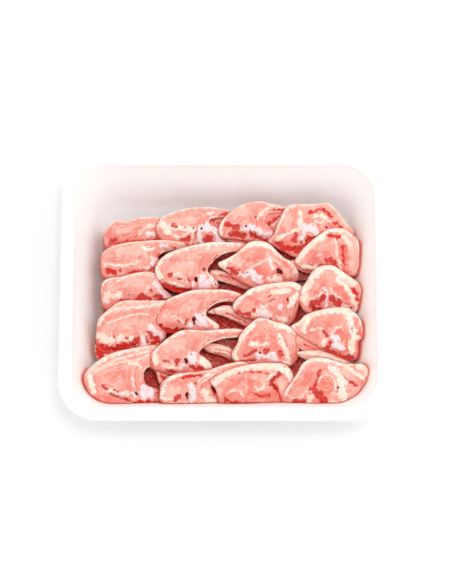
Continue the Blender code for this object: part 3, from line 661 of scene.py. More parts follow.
        ("red", 2.6, [(-106, -62), (-98, -60.5), (-93, -62)]),
        ("bone", 2.5, [(-82, -52), (-82, -58), (-80, -62)]),
        ("deep", 1.0, [(-79, -54), (-77, -58.5)]),
        ("marrow", 2.5, [(-76, -49.5), (-73, -53), (-68, -56)]),
        ("bone", 3.3, [(-74, -44), (-69, -49), (-63, -53)]),
        ("red", 1.9, [(-74, -60.5), (-66, -59)]),
        ("red", 4.5, [(-124, -64), (-117, -66)]),
        ("deep", 3.0, [(-110, -66), (-98, -65.5), (-90, -66)]),
    ],
    "chop_e1": [
        ("fat", 1.5, [(-137, -92), (-128, -82), (-116, -74), (-100, -68), (-84, -64), (-70, -62)]),
        ("fat", 0.9, [(-131, -90), (-121, -83), (-107, -76), (-93, -72), (-76, -67)]),
        ("fat", 0.8, [(-128, -88), (-114, -82), (-100, -78.5), (-86, -76), (-75, -71)]),
        ("cap", 1.5, [(-124, -83), (-110, -74), (-92, -69)]),
        ("fat", 1.5, [(-95, -80.5), (-88, -79.5), (-84, -83)]),
        ("seam", 0.5, [(-112, -85), (-100, -82), (-92, -81)]),
        ("cap", 5.5, [(-112, -93), (-98, -91)]),
        ("fat", 2.6, [(-135, -94), (-133, -101), (-131, -108)]),
        ("fat", 1.1, [(-92, -94), (-91, -103)]),
        ("fat", 2.4, [(-115, -107), (-104, -111), (-97, -108)]),
        ("marrow", 2.9, [(-121, -104), (-119.5, -105)]),
        ("marrow", 1.5, [(-110, -107), (-107, -108)]),
        ("bone", 2.0, [(-103.5, -111)]),
        ("cap", 1.6, [(-96, -104), (-97, -110)]),
        ("bone", 3.0, [(-90, -111)]),
        ("bone", 4.5, [(-81, -104.5), (-80, -110.5)]),
        ("bone", 4.5, [(-73.5, -105), (-74, -110.5)]),
        ("pit", 1.1, [(-88.5, -108), (-87, -110.5)]),
        ("pit", 0.6, [(-69.4, -105)]),
        ("marrow", 1.5, [(-66.5, -108.5)]),
        ("red", 1.6, [(-64, -90), (-58, -94), (-54, -97)]),
        ("cap", 2.4, [(-125, -113), (-112, -116), (-102, -118)]),
        ("deep", 0.9, [(-114, -110.5), (-104, -114), (-94, -116.5)]),
        ("red", 2.4, [(-90, -119), (-77, -118), (-66, -119)]),
    ],
    "chop_d2": [
        ("fat", 1.8, [(-71, -69), (-64, -61), (-54, -54), (-43, -48.5)]),
        ("fat", 1.6, [(-14, -48), (2, -47), (17, -46.5)]),
        ("cap", 2.7, [(-24, -50), (-8, -50.5), (4, -50), (16, -50)]),
        ("pale", 6.0, [(-56, -63), (-44, -60)]),
        ("seam", 0.6, [(-23, -58.5), (-16, -55), (-6, -53.5), (10, -53)]),
        ("seam", 0.5, [(-22, -62), (-14, -57.5), (0, -55)]),
        ("fat", 3.6, [(-70, -74), (-68, -79)]),
        ("fat", 1.6, [(-62, -82), (-54, -84), (-46, -85)]),
        ("marrow", 1.4, [(-60, -76.8), (-56.5, -78)]),
        ("marrow", 2.0, [(-46.5, -76), (-48.5, -81)]),
        ("fat", 0.8, [(-53, -78), (-50, -84)]),
        ("bone", 3.1, [(-42, -82)]),
        ("pit", 1.3, [(-39, -76), (-38.6, -79)]),
        ("bone", 4.8, [(-33, -72.5), (-32, -78)]),
        ("pit", 0.6, [(-33.6, -70.4)]),
        ("cap", 1.7, [(-32, -65), (-26, -67), (-23, -72)]),
        ("marrow", 2.5, [(-34, -82.8), (-29, -85), (-24, -85)]),
        ("fat", 4.4, [(-23, -77), (-18, -80), (-15, -84)]),
        ("deep", 1.3, [(-58, -87), (-48, -88.5)]),
    ],
    "chop_d3": [
        ("fat", 1.8, [(9, -71), (13, -63), (17, -55), (24, -47), (30, -40)]),
        ("fat", 2.6, [(9, -72), (13, -75)]),
        ("cap", 6.0, [(26, -50), (33, -53)]),
        ("seam", 0.8, [(42, -40), (43, -48), (41, -58)]),
        ("cap", 5.5, [(48, -51), (50, -58)]),
        ("fat", 2.9, [(51, -42), (62, -44), (70, -49)]),
        ("pale", 4.6, [(63, -54), (70, -58)]),
        ("fat", 2.6, [(54.5, -52), (58.5, -61), (62, -69), (64, -76)]),
        ("fat", 2.0, [(26, -60), (34, -61.5), (41, -60)]),
        ("marrow", 1.7, [(30, -67), (26, -70), (19, -73)]),
        ("marrow", 2.3, [(39, -68.5), (43.5, -65.5)]),
        ("bone", 2.8, [(32, -72), (37, -72.5)]),
        ("pit", 0.7, [(35, -69)]),
        ("bone", 4.3, [(43, -73.5), (48, -71.5), (50, -74)]),
        ("cap", 3.2, [(54, -67), (57.5, -73)]),
        ("red", 1.7, [(55, -68), (57, -72)]),
        ("deep", 0.9, [(17, -77.5), (30, -77)]),
        ("fat", 2.0, [(60, -79), (66, -80)]),
    ],
    "chop_d4": [
        ("fat", 2.9, [(68, -43), (78, -36), (88, -31)]),
        ("fat", 2.6, [(84, -34), (80, -42), (79, -48)]),
        ("fat", 3.3, [(89, -30), (100, -27.5), (110, -26.5), (120, -28), (127, -31.5)]),
        ("fat", 3.4, [(123.5, -34), (126, -41), (129.5, -48), (131, -52), (127.5, -58), (127, -68)]),
        ("pit", 1.1, [(127, -45)]),
        ("cap", 2.4, [(136, -47), (135, -60), (131, -70)]),
        ("cap", 3.6, [(96, -37), (105, -39)]),
        ("cap", 4.8, [(117, -48), (120, -54), (120, -64)]),
        ("fat", 0.9, [(107, -49.5), (111, -45), (117, -42)]),
        ("fat", 0.9, [(85, -47), (91, -45), (97, -45.5), (103, -50)]),
        ("cap", 3.4, [(91, -51.5)]),
        ("marrow", 2.2, [(99, -47.5), (102, -51)]),
        ("bone", 4.2, [(110, -54.5), (112, -60), (115, -64)]),
        ("fat", 2.7, [(99.5, -57), (97.5, -61)]),
        ("red", 1.5, [(105, -58), (106, -61)]),
        ("marrow", 2.6, [(101, -64.5), (109, -70.5), (120, -74.5), (128, -74)]),
    ],
    "chop_e2": [
        ("fat", 1.8, [(-63, -113), (-61.5, -105), (-57, -97), (-50, -92), (-42, -90)]),
        ("red", 1.9, [(-42, -93), (-33, -92), (-24, -91)]),
        ("cap", 4.0, [(-50, -97), (-36, -95), (-24, -92)]),
        ("pale", 4.0, [(-58, -108), (-52, -107), (-46, -106)]),
        ("fat", 1.8, [(-60, -115), (-54, -115)]),
        ("marrow", 2.9, [(-49, -114), (-45.5, -112.5)]),
        ("pit", 1.2, [(-38, -110), (-37, -114)]),
        ("bone", 3.9, [(-33, -102.5), (-32, -108), (-32, -114.5)]),
        ("bone", 2.4, [(-38, -118)]),
        ("marrow", 1.2, [(-29.5, -99.5)]),
        ("fat", 0.8, [(-27, -97), (-14, -89), (-4, -84), (10, -80.5)]),
        ("fat", 0.7, [(-24, -99), (-12, -91.5), (0, -87.5), (12, -84)]),
        ("cap", 2.4, [(-22, -101), (-16, -98)]),
        ("fat", 3.9, [(-21, -108), (-16, -115), (-8, -118)]),
        ("deep", 2.0, [(-12, -102), (-9, -108.5)]),
        ("deep", 1.0, [(-33, -121.5), (-24, -121.5)]),
    ],
    "chop_e3": [
        ("fat", 3.5, [(-10, -99), (-6, -95), (2, -89.5), (13, -85), (26, -82.5), (40, -82.5),
                      (54, -84)]),
        ("fat", 3.2, [(54, -84), (62, -88), (66, -94)]),
        ("red", 0.8, [(13, -89), (22, -87.5), (33, -88), (44, -89.5)]),
        ("cap", 7.0, [(6, -97), (18, -98), (24, -104)]),
        ("pale", 0.8, [(21, -92), (21, -107)]),
        ("pale", 3.0, [(30, -94), (38, -95)]),
        ("fat", 1.4, [(30, -103), (34, -106), (38, -104), (39, -100)]),
        ("deep", 1.8, [(55, -90), (49.5, -94), (46, -99), (51.5, -104)]),
        ("red", 2.0, [(52, -105), (54.5, -111), (57, -118)]),
        ("fat", 1.8, [(44, -95), (50, -90)]),
        ("pale", 4.6, [(58, -99), (62, -106)]),
        ("fat", 1.0, [(3, -109), (9, -105.5), (15, -107.5), (18, -112)]),
        ("marrow", 2.7, [(0, -116), (5, -117)]),
        ("red", 1.1, [(9, -118), (20, -119), (32, -119)]),
        ("cap", 4.5, [(32, -112), (44, -111)]),
        ("red", 1.3, [(30, -110), (38, -113), (45, -111)]),
        ("pale", 2.0, [(-6, -106), (-5, -112)]),
    ],
    "chop_e4": [
        ("fat", 1.8, [(59, -111), (62, -105), (69, -94), (76, -83.5), (83, -77.5), (92, -75.5)]),
        ("fat", 1.8, [(92, -75.5), (103, -77), (116, -81), (127, -88), (137, -94)]),
        ("fat", 2.0, [(133, -83), (139, -85), (141, -90)]),
        ("cap", 4.5, [(74, -100), (82, -92), (88, -84)]),
        ("fat", 1.0, [(64, -112), (70, -115), (77, -112.5), (83, -105)]),
        ("red", 1.4, [(94.5, -86), (92, -97), (88.5, -104)]),
        ("marrow", 2.0, [(85, -105), (89, -106)]),
        ("marrow", 4.0, [(91, -108), (95, -112), (99, -116.5)]),
        ("marrow", 2.8, [(68, -118.5), (79, -117)]),
        ("fat", 2.7, [(85, -112), (84, -118)]),
        ("cap", 6.5, [(101, -99), (102, -105)]),
        ("fat", 0.8, [(93, -98), (96, -92), (102, -90), (108, -94), (111, -102), (108, -110)]),
        ("fat", 4.4, [(107.5, -85), (113, -91), (117, -98), (117, -108), (119, -117)]),
        ("pit", 0.9, [(112.3, -103.5)]),
        ("pit", 0.6, [(110.2, -108)]),
        ("cap", 2.6, [(100, -85)]),
        ("pale", 2.4, [(118, -88), (128, -95)]),
        ("red", 1.9, [(124, -98), (130, -101.5)]),
        ("pale", 5.0, [(129, -108), (126, -114)]),
        ("fat", 1.6, [(105, -117), (112, -119)]),
    ],
    "flank_a2": [
        ("cap", 3.0, [(-14, 62), (0, 63), (8, 64)]),
        ("red", 1.2, [(-12, 64), (-4, 60), (2, 62)]),
        ("pale", 1.4, [(-10, 67), (0, 68)]),
    ],
    "flank_a4": [
        ("red", 2.0, [(44, 60), (50, 64), (56, 68)]),
        ("cap", 3.0, [(42, 66), (50, 70), (58, 72)]),
        ("fat", 0.8, [(44, 57), (50, 60), (56, 66)]),
    ],
    "flank_a3": [
        ("cap", 2.0, [(6, 45), (20, 43), (34, 40)]),
        ("red", 0.9, [(11, 47), (17, 44), (23, 41)]),
        ("fat", 0.8, [(24, 44), (34, 41), (42, 39)]),
    ],
    "flank_b2": [
        ("cap", 2.4, [(-8, 8), (8, 4), (24, -3)]),
        ("fat", 0.9, [(-12, 11), (0, 11), (12, 6)]),
        ("pale", 1.2, [(-8, 6), (6, 1), (20, -5)]),
        ("red", 0.7, [(-6, 8.5), (6, 6.5), (18, 1)]),
        ("seam", 0.5, [(-4, 4), (8, -1), (20, -7)]),
    ],
    "flank_b3": [
        ("cap", 2.4, [(72, 20), (86, 16), (98, 12)]),
        ("seam", 0.6, [(74, 22), (88, 18), (98, 14)]),
        ("red", 0.9, [(76, 18), (90, 13)]),
    ],
    "flank_c2": [
        ("pale", 3.0, [(-10, -28), (2, -29), (12, -33)]),
        ("fat", 1.1, [(-8, -26), (2, -25), (10, -28)]),
        ("red", 0.8, [(-11, -27), (-9, -31), (-2, -34)]),
        ("cap", 2.2, [(12, -36), (24, -39), (33, -43)]),
        ("seam", 0.6, [(-6, -31), (6, -33), (18, -38)]),
        ("red", 0.6, [(2, -30), (12, -34), (22, -40)]),
    ],
    "flank_d1": [
        ("red", 9.0, [(-124, -66), (-100, -67)]),
        ("deep", 1.4, [(-122, -64), (-110, -66), (-98, -66)]),
        ("fat", 0.7, [(-120, -72), (-108, -73)]),
    ],
    "flank_d2": [
        ("pale", 4.0, [(-14, -66), (0, -67), (12, -72)]),
        ("fat", 0.7, [(-10, -64), (2, -66), (12, -71)]),
        ("fat", 0.6, [(-12, -67), (0, -69), (10, -74)]),
        ("red", 0.6, [(-10, -65.5), (2, -67.5), (12, -72.5)]),
        ("red", 0.5, [(-10, -69), (0, -71), (8, -75)]),
    ],
    "flank_d3": [
        ("cap", 3.0, [(76, -60), (88, -66), (98, -71)]),
        ("fat", 0.8, [(86, -59), (97, -65), (107, -72)]),
        ("red", 0.6, [(80, -61), (92, -66.5), (102, -72)]),
    ],
    "flank_e3": [
        ("pale", 3.0, [(76, -74), (90, -75), (106, -76)]),
        ("fat", 1.6, [(76, -70), (90, -70), (104, -73), (118, -78)]),
    ],
}

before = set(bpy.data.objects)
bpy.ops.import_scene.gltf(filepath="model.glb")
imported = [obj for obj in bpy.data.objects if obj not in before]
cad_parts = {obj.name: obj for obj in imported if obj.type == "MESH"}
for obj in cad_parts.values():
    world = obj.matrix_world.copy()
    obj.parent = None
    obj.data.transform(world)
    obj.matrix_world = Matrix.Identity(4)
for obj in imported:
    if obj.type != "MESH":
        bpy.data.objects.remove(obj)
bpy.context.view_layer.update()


# Outlines, as in the part.

def smooth_loop(corners, spacing):
    """Evenly spaced points on the closed smooth curve through the given points."""
    corners = np.array(corners, float)
    before, after, further = (np.roll(corners, shift, axis=0) for shift in (1, -1, -2))
    rise = after - before
    bow = 2 * before - 5 * corners + 4 * after - further
    twist = 3 * corners - before - 3 * after + further
    steps = np.linspace(0, 1, 24, endpoint=False)
    dense = [corners + (rise * t + bow * t**2 + twist * t**3) / 2 for t in steps]
    curve = np.stack(dense, axis=1).reshape(-1, 2)
    curve = np.vstack([curve, curve[:1]])
    sides = np.linalg.norm(np.diff(curve, axis=0), axis=1)
    along = np.concatenate([[0], np.cumsum(sides)])
    wanted = np.linspace(0, along[-1], round(along[-1] / spacing), endpoint=False)
    return np.stack([np.interp(wanted, along, curve[:, axis]) for axis in (0, 1)], axis=1)


def distance_to_line(points, line):
    """How far each point lies from an open line of points, or from a single one."""
    line = np.array(line, float)
    if len(line) == 1:
        return np.linalg.norm(points - line, axis=1)
    start, side = line[:-1], np.diff(line, axis=0)
    from_start = points[:, None, :] - start[None]
    share = np.clip((from_start * side).sum(2) / (side**2).sum(1), 0, 1)
    return np.linalg.norm(from_start - share[..., None] * side, axis=2).min(1)


def distance_to_loop(points, loop):
    """How far each point lies from the loop, less than zero outside it."""
    apart = distance_to_line(points, np.vstack([loop, loop[:1]]))
    start, end = loop, np.roll(loop, -1, axis=0)
    px, py = points[:, 0][:, None], points[:, 1][:, None]
    crosses = (start[:, 1] > py) != (end[:, 1] > py)
    rise = np.where(np.abs(end[:, 1] - start[:, 1]) < 1e-9, 1e-9, end[:, 1] - start[:, 1])
    hits = crosses & (px < start[:, 0] + (py - start[:, 1]) * (end - start)[:, 0] / rise)
    return np.where(hits.sum(1) % 2 == 1, apart, -apart)


def inward_of(loop):
    """The direction into the clockwise loop at each of its points."""
    ahead = np.roll(loop, -1, axis=0) - np.roll(loop, 1, axis=0)
    ahead /= np.linalg.norm(ahead, axis=1)[:, None]
    return np.stack([ahead[:, 1], -ahead[:, 0]], axis=1)


def inset(loop, distance):
    """The clockwise loop moved inward by a distance, and by less where it is narrow."""
    reached = distance_to_loop(loop + distance * inward_of(loop), loop)
    return loop + np.clip(reached, distance / 3, distance)[:, None] * inward_of(loop)


def smooth_step(x):
    x = np.clip(x, 0, 1)
    return x * x * (3 - 2 * x)


def waves(points, length, seed):
    """Gentle uneven waves of about this length over points in 2 or 3 dimensions, from -1 to 1."""
    draw = np.random.default_rng(seed)
    total = np.zeros(len(points))
    count = 7
    for _ in range(count):
        direction = draw.normal(size=points.shape[1])
        direction *= draw.uniform(0.7, 1.4) / np.linalg.norm(direction)
        total += np.sin(points @ direction * (2 * math.pi / length) + draw.uniform(0, 2 * math.pi))
    return total / math.sqrt(count) / 1.3


def lumps(points, lump, seed):
    """Waves of the lump's height and length."""
    height, length = lump
    return height * waves(points, length, seed)


def bridge(first, second, count):
    """The quads between two rings, given by the index of their first points."""
    nexts = [(i + 1) % count for i in range(count)]
    return [(first + j, first + i, second + i, second + j) for i, j in enumerate(nexts)]


# Meshes of the meat.

def fill_face(outer, spacing, rows):
    """Triangles inside the loop, close together along its edge: (points, faces)."""
    low, high = outer.min(0), outer.max(0)
    lines = np.arange(low[1], high[1], spacing * math.sqrt(3) / 2)
    grid = []
    for number, v in enumerate(lines):
        shift = spacing / 2 * (number % 2)
        grid += [(u, v) for u in np.arange(low[0] + shift, high[0], spacing)]
    grid = np.array(grid)
    last = rows[-1] if rows else 0
    grid = grid[distance_to_loop(grid, outer) > last + 0.6 * spacing]
    inner = []
    for distance in rows:
        row = outer + distance * inward_of(outer)
        inner.append(row[distance_to_loop(row, outer) > 0.85 * distance])
    points = [tuple(p) for p in np.vstack([outer, *inner, grid])]
    ring = list(range(len(outer)))
    filled, _, faces, *_ = delaunay_2d_cdt(points, [], [ring], 1, 1e-6)
    return np.array([tuple(p) for p in filled]), [tuple(f) for f in faces]


def zone_distances(points, marks, edge, rim, seed):
    """For each zone, how far inside it each point lies, in millimetres.

    The strokes are looked up at wavering places and with uneven widths, as cut tissue is uneven.
    """
    found = {zone: np.full(len(points), FAR) for zone in ZONES}
    for number, (zone, radius, line) in enumerate(marks):
        waver = WAVER * min(1.0, radius / 2)
        own = seed + 11 * number
        shift = np.column_stack([waves(points, WAVER_WAVE, own + i) for i in (0, 1)])
        fray = np.column_stack([waves(points, FRAY_WAVE, own + i) for i in (2, 3)])
        apart = distance_to_line(points + waver * (shift + FRAY * fray), line)
        change = STROKE_CHANGE * waves(points, STROKE_WAVE, own + 4)
        width = radius * SQUARE * (STROKE_WIDTH + change)
        found[zone] = np.maximum(found[zone], width - apart)
    found["fat"] = np.maximum(found["fat"], rim - edge)
    return found


def zone_relief(found):
    height = np.zeros(len(found["fat"]))
    for zone, (rise, soft) in ZONE_RISE.items():
        height += rise * smooth_step((found[zone] + soft / 2) / soft)
    return height


class Slab:
    """One slice of meat in the making: points in metres, faces, and what each point carries."""

    def __init__(self, points, faces, carried):
        self.points = points
        self.faces = faces
        self.carried = carried
        self.contact_shade = np.zeros(len(points))

    def tree(self):
        return BVHTree.FromPolygons([tuple(p) for p in self.points], self.faces)


def close_slice(faces, starts, count, back_faces):
    """All faces of a slice: its top, the bands between the rings that start here, and its back."""
    closed = list(faces)
    for first, second in zip(starts, starts[1:]):
        closed += bridge(first, second, count)
    return closed + [tuple(reversed([starts[-1] + i for i in face])) for face in back_faces]


def make_slice(name, kind, lean, tip, bone, squares):
    """One slice of the upper layer in its place, before its neighbours press into it."""
    lean, sight = math.radians(lean), math.radians(SIGHT)
    corners = np.array(squares) * SQUARE
    middle = smooth_loop(corners, RING_SPACING).mean(axis=0)
    stretch = np.array([1, 1 / math.sin(sight + lean)])
    coarse = (smooth_loop(corners, RING_SPACING) - middle) * stretch
    outer = (smooth_loop(corners, GRAIN) - middle) * stretch
    bone = None if bone is None else (np.array(bone) * SQUARE - middle) * stretch
    marks = [
        (zone, radius, (np.array(line) * SQUARE - middle) * stretch)
        for zone, radius, line in MARKS[name]
    ]
    seed = sum(ord(letter) * (place + 1) for place, letter in enumerate(name))
    thickness = FLANK_THICKNESS if kind == "flank" else CHOP_THICKNESS

    def tail_share(u):
        if kind == "flank":
            return np.zeros_like(u)
        return smooth_step((u - bone[0] - TAIL_START) / (TAIL_END - TAIL_START))

    def bend(at):
        u, v = at[:, 0], at[:, 1]
        return -DROOP * ((u / DROOP_REACH) ** 2 + (v / DROOP_REACH) ** 2) - TAIL_DROOP * tail_share(u)

    def depth(at):
        thinned = tail_share(at[:, 0]) * (1.0 if kind == "rib" else 0.5)
        return thickness + (TAIL_THICKNESS - thickness) * thinned

    def rim_width(at):
        least, more = RIM_FAT[kind]
        width = least + more * smooth_step(at[:, 1] / RIM_TURN + 0.5)
        return width * (1 + RIM_CHANGE * waves(at, RIM_WAVE, seed))

    # The cut face.
    face, faces = fill_face(outer, GRAIN, EDGE_ROWS)
    edge = np.maximum(distance_to_loop(face, outer), 0)
    edge[: len(outer)] = 0
    found = zone_distances(face, marks, edge, rim_width(face), seed)
    rolled = 1 - np.minimum(edge / SHOULDER, 1)
    crown = CROWN * (1 - np.exp(-np.maximum(edge - SHOULDER, 0) / CROWN_REACH))
    if bone is not None:
        crown = crown + BONE_BUMP * np.exp(-((np.linalg.norm(face - bone, axis=1) / BONE_REACH) ** 2))
    inner = smooth_step(edge / SHOULDER)
    rough = lumps(face, LUMP, seed + 1) + lumps(face, FINE_LUMP, seed + 2)
    rise = bend(face) - SHOULDER * (1 - np.sqrt(1 - rolled**2)) + crown
    rise += inner * (zone_relief(found) + rough)
    points = [np.column_stack([face, rise])]
    none = np.zeros(len(face))
    half_height = np.abs(outer[:, 1]).max()
    places = [none, face[:, 0], edge, face[:, 1] / half_height]
    carried = [np.column_stack([found[zone] for zone in ZONES] + places)]

    # The wall below its edge, which shows what lies a little inside the edge.
    count = len(outer)
    into = inward_of(outer)
    deep = depth(outer)
    levels = max(3, round((thickness - 2 * SHOULDER) / WALL_GRAIN))
    for level in range(1, levels + 1):
        down = level / levels * (deep - 2 * SHOULDER)
        seen_at = outer + into * np.minimum(down * WALL_LOOK_SLOPE, WALL_LOOK)[:, None]
        seen = zone_distances(seen_at, marks, np.minimum(down, WALL_LOOK), rim_width(outer), seed)
        ripple = waves(np.column_stack([outer, WALL_WAVE_SQUEEZE * down]), WALL_WAVE, seed + 3)
        ripple = ripple * WALL_RIPPLE * smooth_step(down / 3)
        shifted = outer + into * (WALL_INSET - ripple)[:, None] * min(1.0, level / 2)
        points.append(np.column_stack([shifted, bend(outer) - SHOULDER - down]))
        places = [down + 0.01, outer[:, 0], -down, outer[:, 1] / half_height]
        carried.append(np.column_stack([seen[zone] for zone in ZONES] + places))

    # The rounded foot and the back.
    lowest = carried[-1]
    back = inset(outer, SHOULDER)
    half = inset(outer, SHOULDER * FOOT_INSET)
    points.append(np.column_stack([half, bend(outer) - deep + SHOULDER * FOOT_RISE]))
    carried.append(lowest)
    back_points, back_faces = fill_face(back, BACK_GRAIN, ())
    points.append(np.column_stack([back_points, bend(back_points) - depth(back_points)]))
    behind = np.full((len(back_points), len(CARRIED)), FAR)
    behind[:, CARRIED.index("side")] = thickness
    behind[:, CARRIED.index("along")] = back_points[:, 0]
    behind[:, CARRIED.index("inner")] = back_points[:, 1]
    carried.append(behind)

    starts = [0] + [len(face) + count * level for level in range(levels + 2)]
    faces = close_slice(faces, starts, count, back_faces)

    height = UNDER_TOP + thickness * math.cos(lean) - coarse[:, 1].min() * math.sin(lean)
    if kind == "flank":
        height += CHOP_THICKNESS - FLANK_THICKNESS - FLANK_SUNK
    y = (middle[1] - math.cos(sight) * (height - TRAY_HEIGHT / MM)) / math.sin(sight)
    pose = np.array(
        Matrix.Translation((middle[0] * MM, y * MM, height * MM))
        @ Matrix.Rotation(lean, 4, "X")
        @ Matrix.Rotation(math.radians(tip), 4, "Y")
    )
    placed = (np.vstack(points) * MM) @ pose[:3, :3].T + pose[:3, 3]
    return Slab(placed, faces, np.vstack(carried))


def wall_inward(height):
    """How far inside the mouth the tray's wall stands at each height."""
    wall = np.array(inner_wall())[::-1]
    return np.interp(height, wall[:, 1], wall[:, 0])


def keep_in_tray(slab, floor):
    """Presses the slice flat on what is under it and against the tray's wall."""
    points = slab.points
    points[:, 2] = np.maximum(points[:, 2], floor)
    inward = wall_inward(points[:, 2]) + WALL_GAP
    radius = MOUTH_CORNER - CORNER_TAPER * inward
    half = np.array([MOUTH_WIDTH, MOUTH_DEPTH]) / 2 - (inward + radius)[:, None]
    beyond = np.abs(points[:, :2]) - half
    corner = np.maximum(beyond, 0)
    reach = np.linalg.norm(corner, axis=1)
    outside = reach - radius
    scale = np.where(outside > 0, radius / np.maximum(reach, 1e-9), 1.0)
    moved = np.where(beyond > 0, half + corner * scale[:, None], np.abs(points[:, :2]))
    points[:, :2] = np.sign(points[:, :2]) * moved


def press_under(slab, upper_trees, boxes):
    """Presses the points that lie inside an upper slice down to just below its underside.

    A point that is only just inside its wall moves out on to the wall, so that no trench is left.
    """
    down, up = Vector((0, 0, -1)), Vector((0, 0, 1))
    for tree, (low, high) in zip(upper_trees, boxes):
        near = ((slab.points > low) & (slab.points < high)).all(axis=1)
        for i in np.flatnonzero(near):
            x, y, z = slab.points[i]
            top = tree.ray_cast(Vector((x, y, high[2] + 0.01)), down)[0]
            foot = tree.ray_cast(Vector((x, y, low[2] - 0.01)), up)[0]
            if top is None or foot is None:
                continue
            if not foot.z - PRESS_GAP < z < top.z + PRESS_GAP:
                continue
            at, outward, _, apart = tree.find_nearest(Vector((x, y, z)), SNAP_REACH)
            if at is not None and outward.z < SNAP_STEEPNESS and z > foot.z + SNAP_REACH:
                slab.points[i] = at + outward * SNAP_GAP
            else:
                slab.points[i, 2] = foot.z - PRESS_GAP


def closeness(points, trees, boxes, reach):
    """1 where a point touches one of the slices, falling to 0 at this distance from them."""
    apart = np.full(len(points), reach)
    for tree, (low, high) in zip(trees, boxes):
        near = ((points > low - reach) & (points < high + reach)).all(axis=1)
        for i in np.flatnonzero(near):
            distance = tree.find_nearest(Vector(points[i]), apart[i])[3]
            if distance is not None:
                apart[i] = min(apart[i], distance)
    return 1 - apart / reach


def place_piece(name, mesh, material, node):
    """The visible piece that stands in for a node of the frame."""
    mesh.materials.append(material)
    piece = bpy.data.objects.new(name, mesh)
    bpy.context.scene.collection.objects.link(piece)
    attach(piece, "root")
    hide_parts(node)


def place_slice(name, slab, material, node):
    mesh = bpy.data.meshes.new(name)
    mesh.from_pydata(slab.points.tolist(), [], slab.faces)
    mesh.shade_smooth()
    values = {label: slab.carried[:, column] for column, label in enumerate(CARRIED)}
    values["contact_shade"] = slab.contact_shade
    for label, value in values.items():
        attribute = mesh.attributes.new(label, "FLOAT", "POINT")
        attribute.data.foreach_set("value", np.ascontiguousarray(value, np.float32))
    place_piece(name, mesh, material, node)


def make_under_slice(column, row):
    """One flat slice of the under layer, as in the part, with a lumpy top."""
    pitch_x, pitch_y = UNDER_WIDTH / UNDER_COLUMNS, UNDER_DEPTH / UNDER_ROWS
    size = np.array([pitch_x - UNDER_SEAM, pitch_y - UNDER_SEAM])
    outer = smooth_loop(np.array(UNDER_OUTLINE) * size, UNDER_GRAIN)
    x = (column - (UNDER_COLUMNS - 1) / 2) * pitch_x
    y = (row - (UNDER_ROWS - 1) / 2) * pitch_y - UNDER_FORWARD
    seed = 50 + 7 * row + column
    face, faces = fill_face(outer, UNDER_GRAIN, UNDER_EDGE_ROWS)
    edge = np.maximum(distance_to_loop(face, outer), 0)
    rise = UNDER_THICKNESS - UNDER_ROUND * (1 - np.minimum(edge / UNDER_SHOULDER, 1)) ** 2
    rough = lumps(face, UNDER_LUMP, seed) + lumps(face, UNDER_FINE_LUMP, seed + 1) - UNDER_LUMP[0]
    rise += smooth_step(edge / UNDER_SHOULDER) * rough
    foot = np.column_stack([outer, np.full(len(outer), UNDER_ROUND)])
    base_points, base_faces = fill_face(inset(outer, UNDER_ROUND), UNDER_BACK_GRAIN, ())
    points = np.vstack([
        np.column_stack([face, rise]), foot,
        np.column_stack([base_points, np.zeros(len(base_points))]),
    ])
    starts = [0, len(face), len(face) + len(outer)]
    faces = close_slice(faces, starts, len(outer), base_faces)
    carried = np.full((len(points), len(CARRIED)), FAR)
    carried[: len(face), CARRIED.index("fat")] = UNDER_FAT + waves(face, UNDER_FAT_WAVE, seed + 3)
    carried[: len(face), CARRIED.index("side")] = 0
    carried[:, CARRIED.index("along")] = points[:, 0]
    carried[:, CARRIED.index("inner")] = points[:, 1]
    points = points * MM + np.array([x * MM, y * MM, FLOOR + UNDER_GAP * MM])
    return Slab(points, faces, carried)


# The tray.

def rounded_rectangle(inward, height):
    """One level ring of the tray, inward of its mouth, with corners that tighten inward."""
    half_width = MOUTH_WIDTH / 2 - inward
    half_depth = MOUTH_DEPTH / 2 - inward
    radius = MOUTH_CORNER - CORNER_TAPER * inward
    corners = []
    for quarter in range(4):
        middle_x = (half_width - radius) * (1 if quarter in (0, 3) else -1)
        middle_y = (half_depth - radius) * (1 if quarter in (0, 1) else -1)
        corner = []
        for step in range(CORNER_STEPS + 1):
            angle = math.radians(90) * (quarter + step / CORNER_STEPS)
            x = middle_x + radius * math.cos(angle)
            y = middle_y + radius * math.sin(angle)
            corner.append((x, y, height))
        corners.append(corner)
    ring = []
    for corner, following in zip(corners, corners[1:] + corners[:1]):
        start, end = np.array(corner[-1]), np.array(following[0])
        side = [start + (end - start) * step / SIDE_STEPS for step in range(1, SIDE_STEPS)]
        ring += corner + [tuple(point) for point in side]
    return ring


def inner_wall():
    """Stations of the tray's inside, from below its lip down to the floor, as (inward, height)."""
    top = TRAY_HEIGHT - LIP_ROUND
    slope = math.atan2(WALL_RUN, top - FLOOR)
    middle_inward = WALL_RUN + WALL_FILLET * (1 - math.tan(slope) / 2)
    foot_inward = middle_inward - WALL_FILLET * math.cos(slope)
    foot_height = FLOOR + WALL_FILLET * (1 - math.sin(slope))
    stations = []
    for step in range(WALL_STEPS):
        height = top + (foot_height - top) * step / WALL_STEPS
        stations.append((foot_inward * step / WALL_STEPS, height))
    for step in range(FILLET_STEPS + 1):
        angle = slope + (math.pi / 2 - slope) * step / FILLET_STEPS
        inward = middle_inward - WALL_FILLET * math.cos(angle)
        stations.append((inward, FLOOR + WALL_FILLET * (1 - math.sin(angle))))
    return stations


def arc(middle, radius, first, last):
    """Stations on an arc, as (inward, height), from one angle in degrees to another."""
    angles = np.radians(np.linspace(first, last, ROUND_STEPS))
    return [(middle[0] - radius * math.cos(a), middle[1] + radius * math.sin(a)) for a in angles]


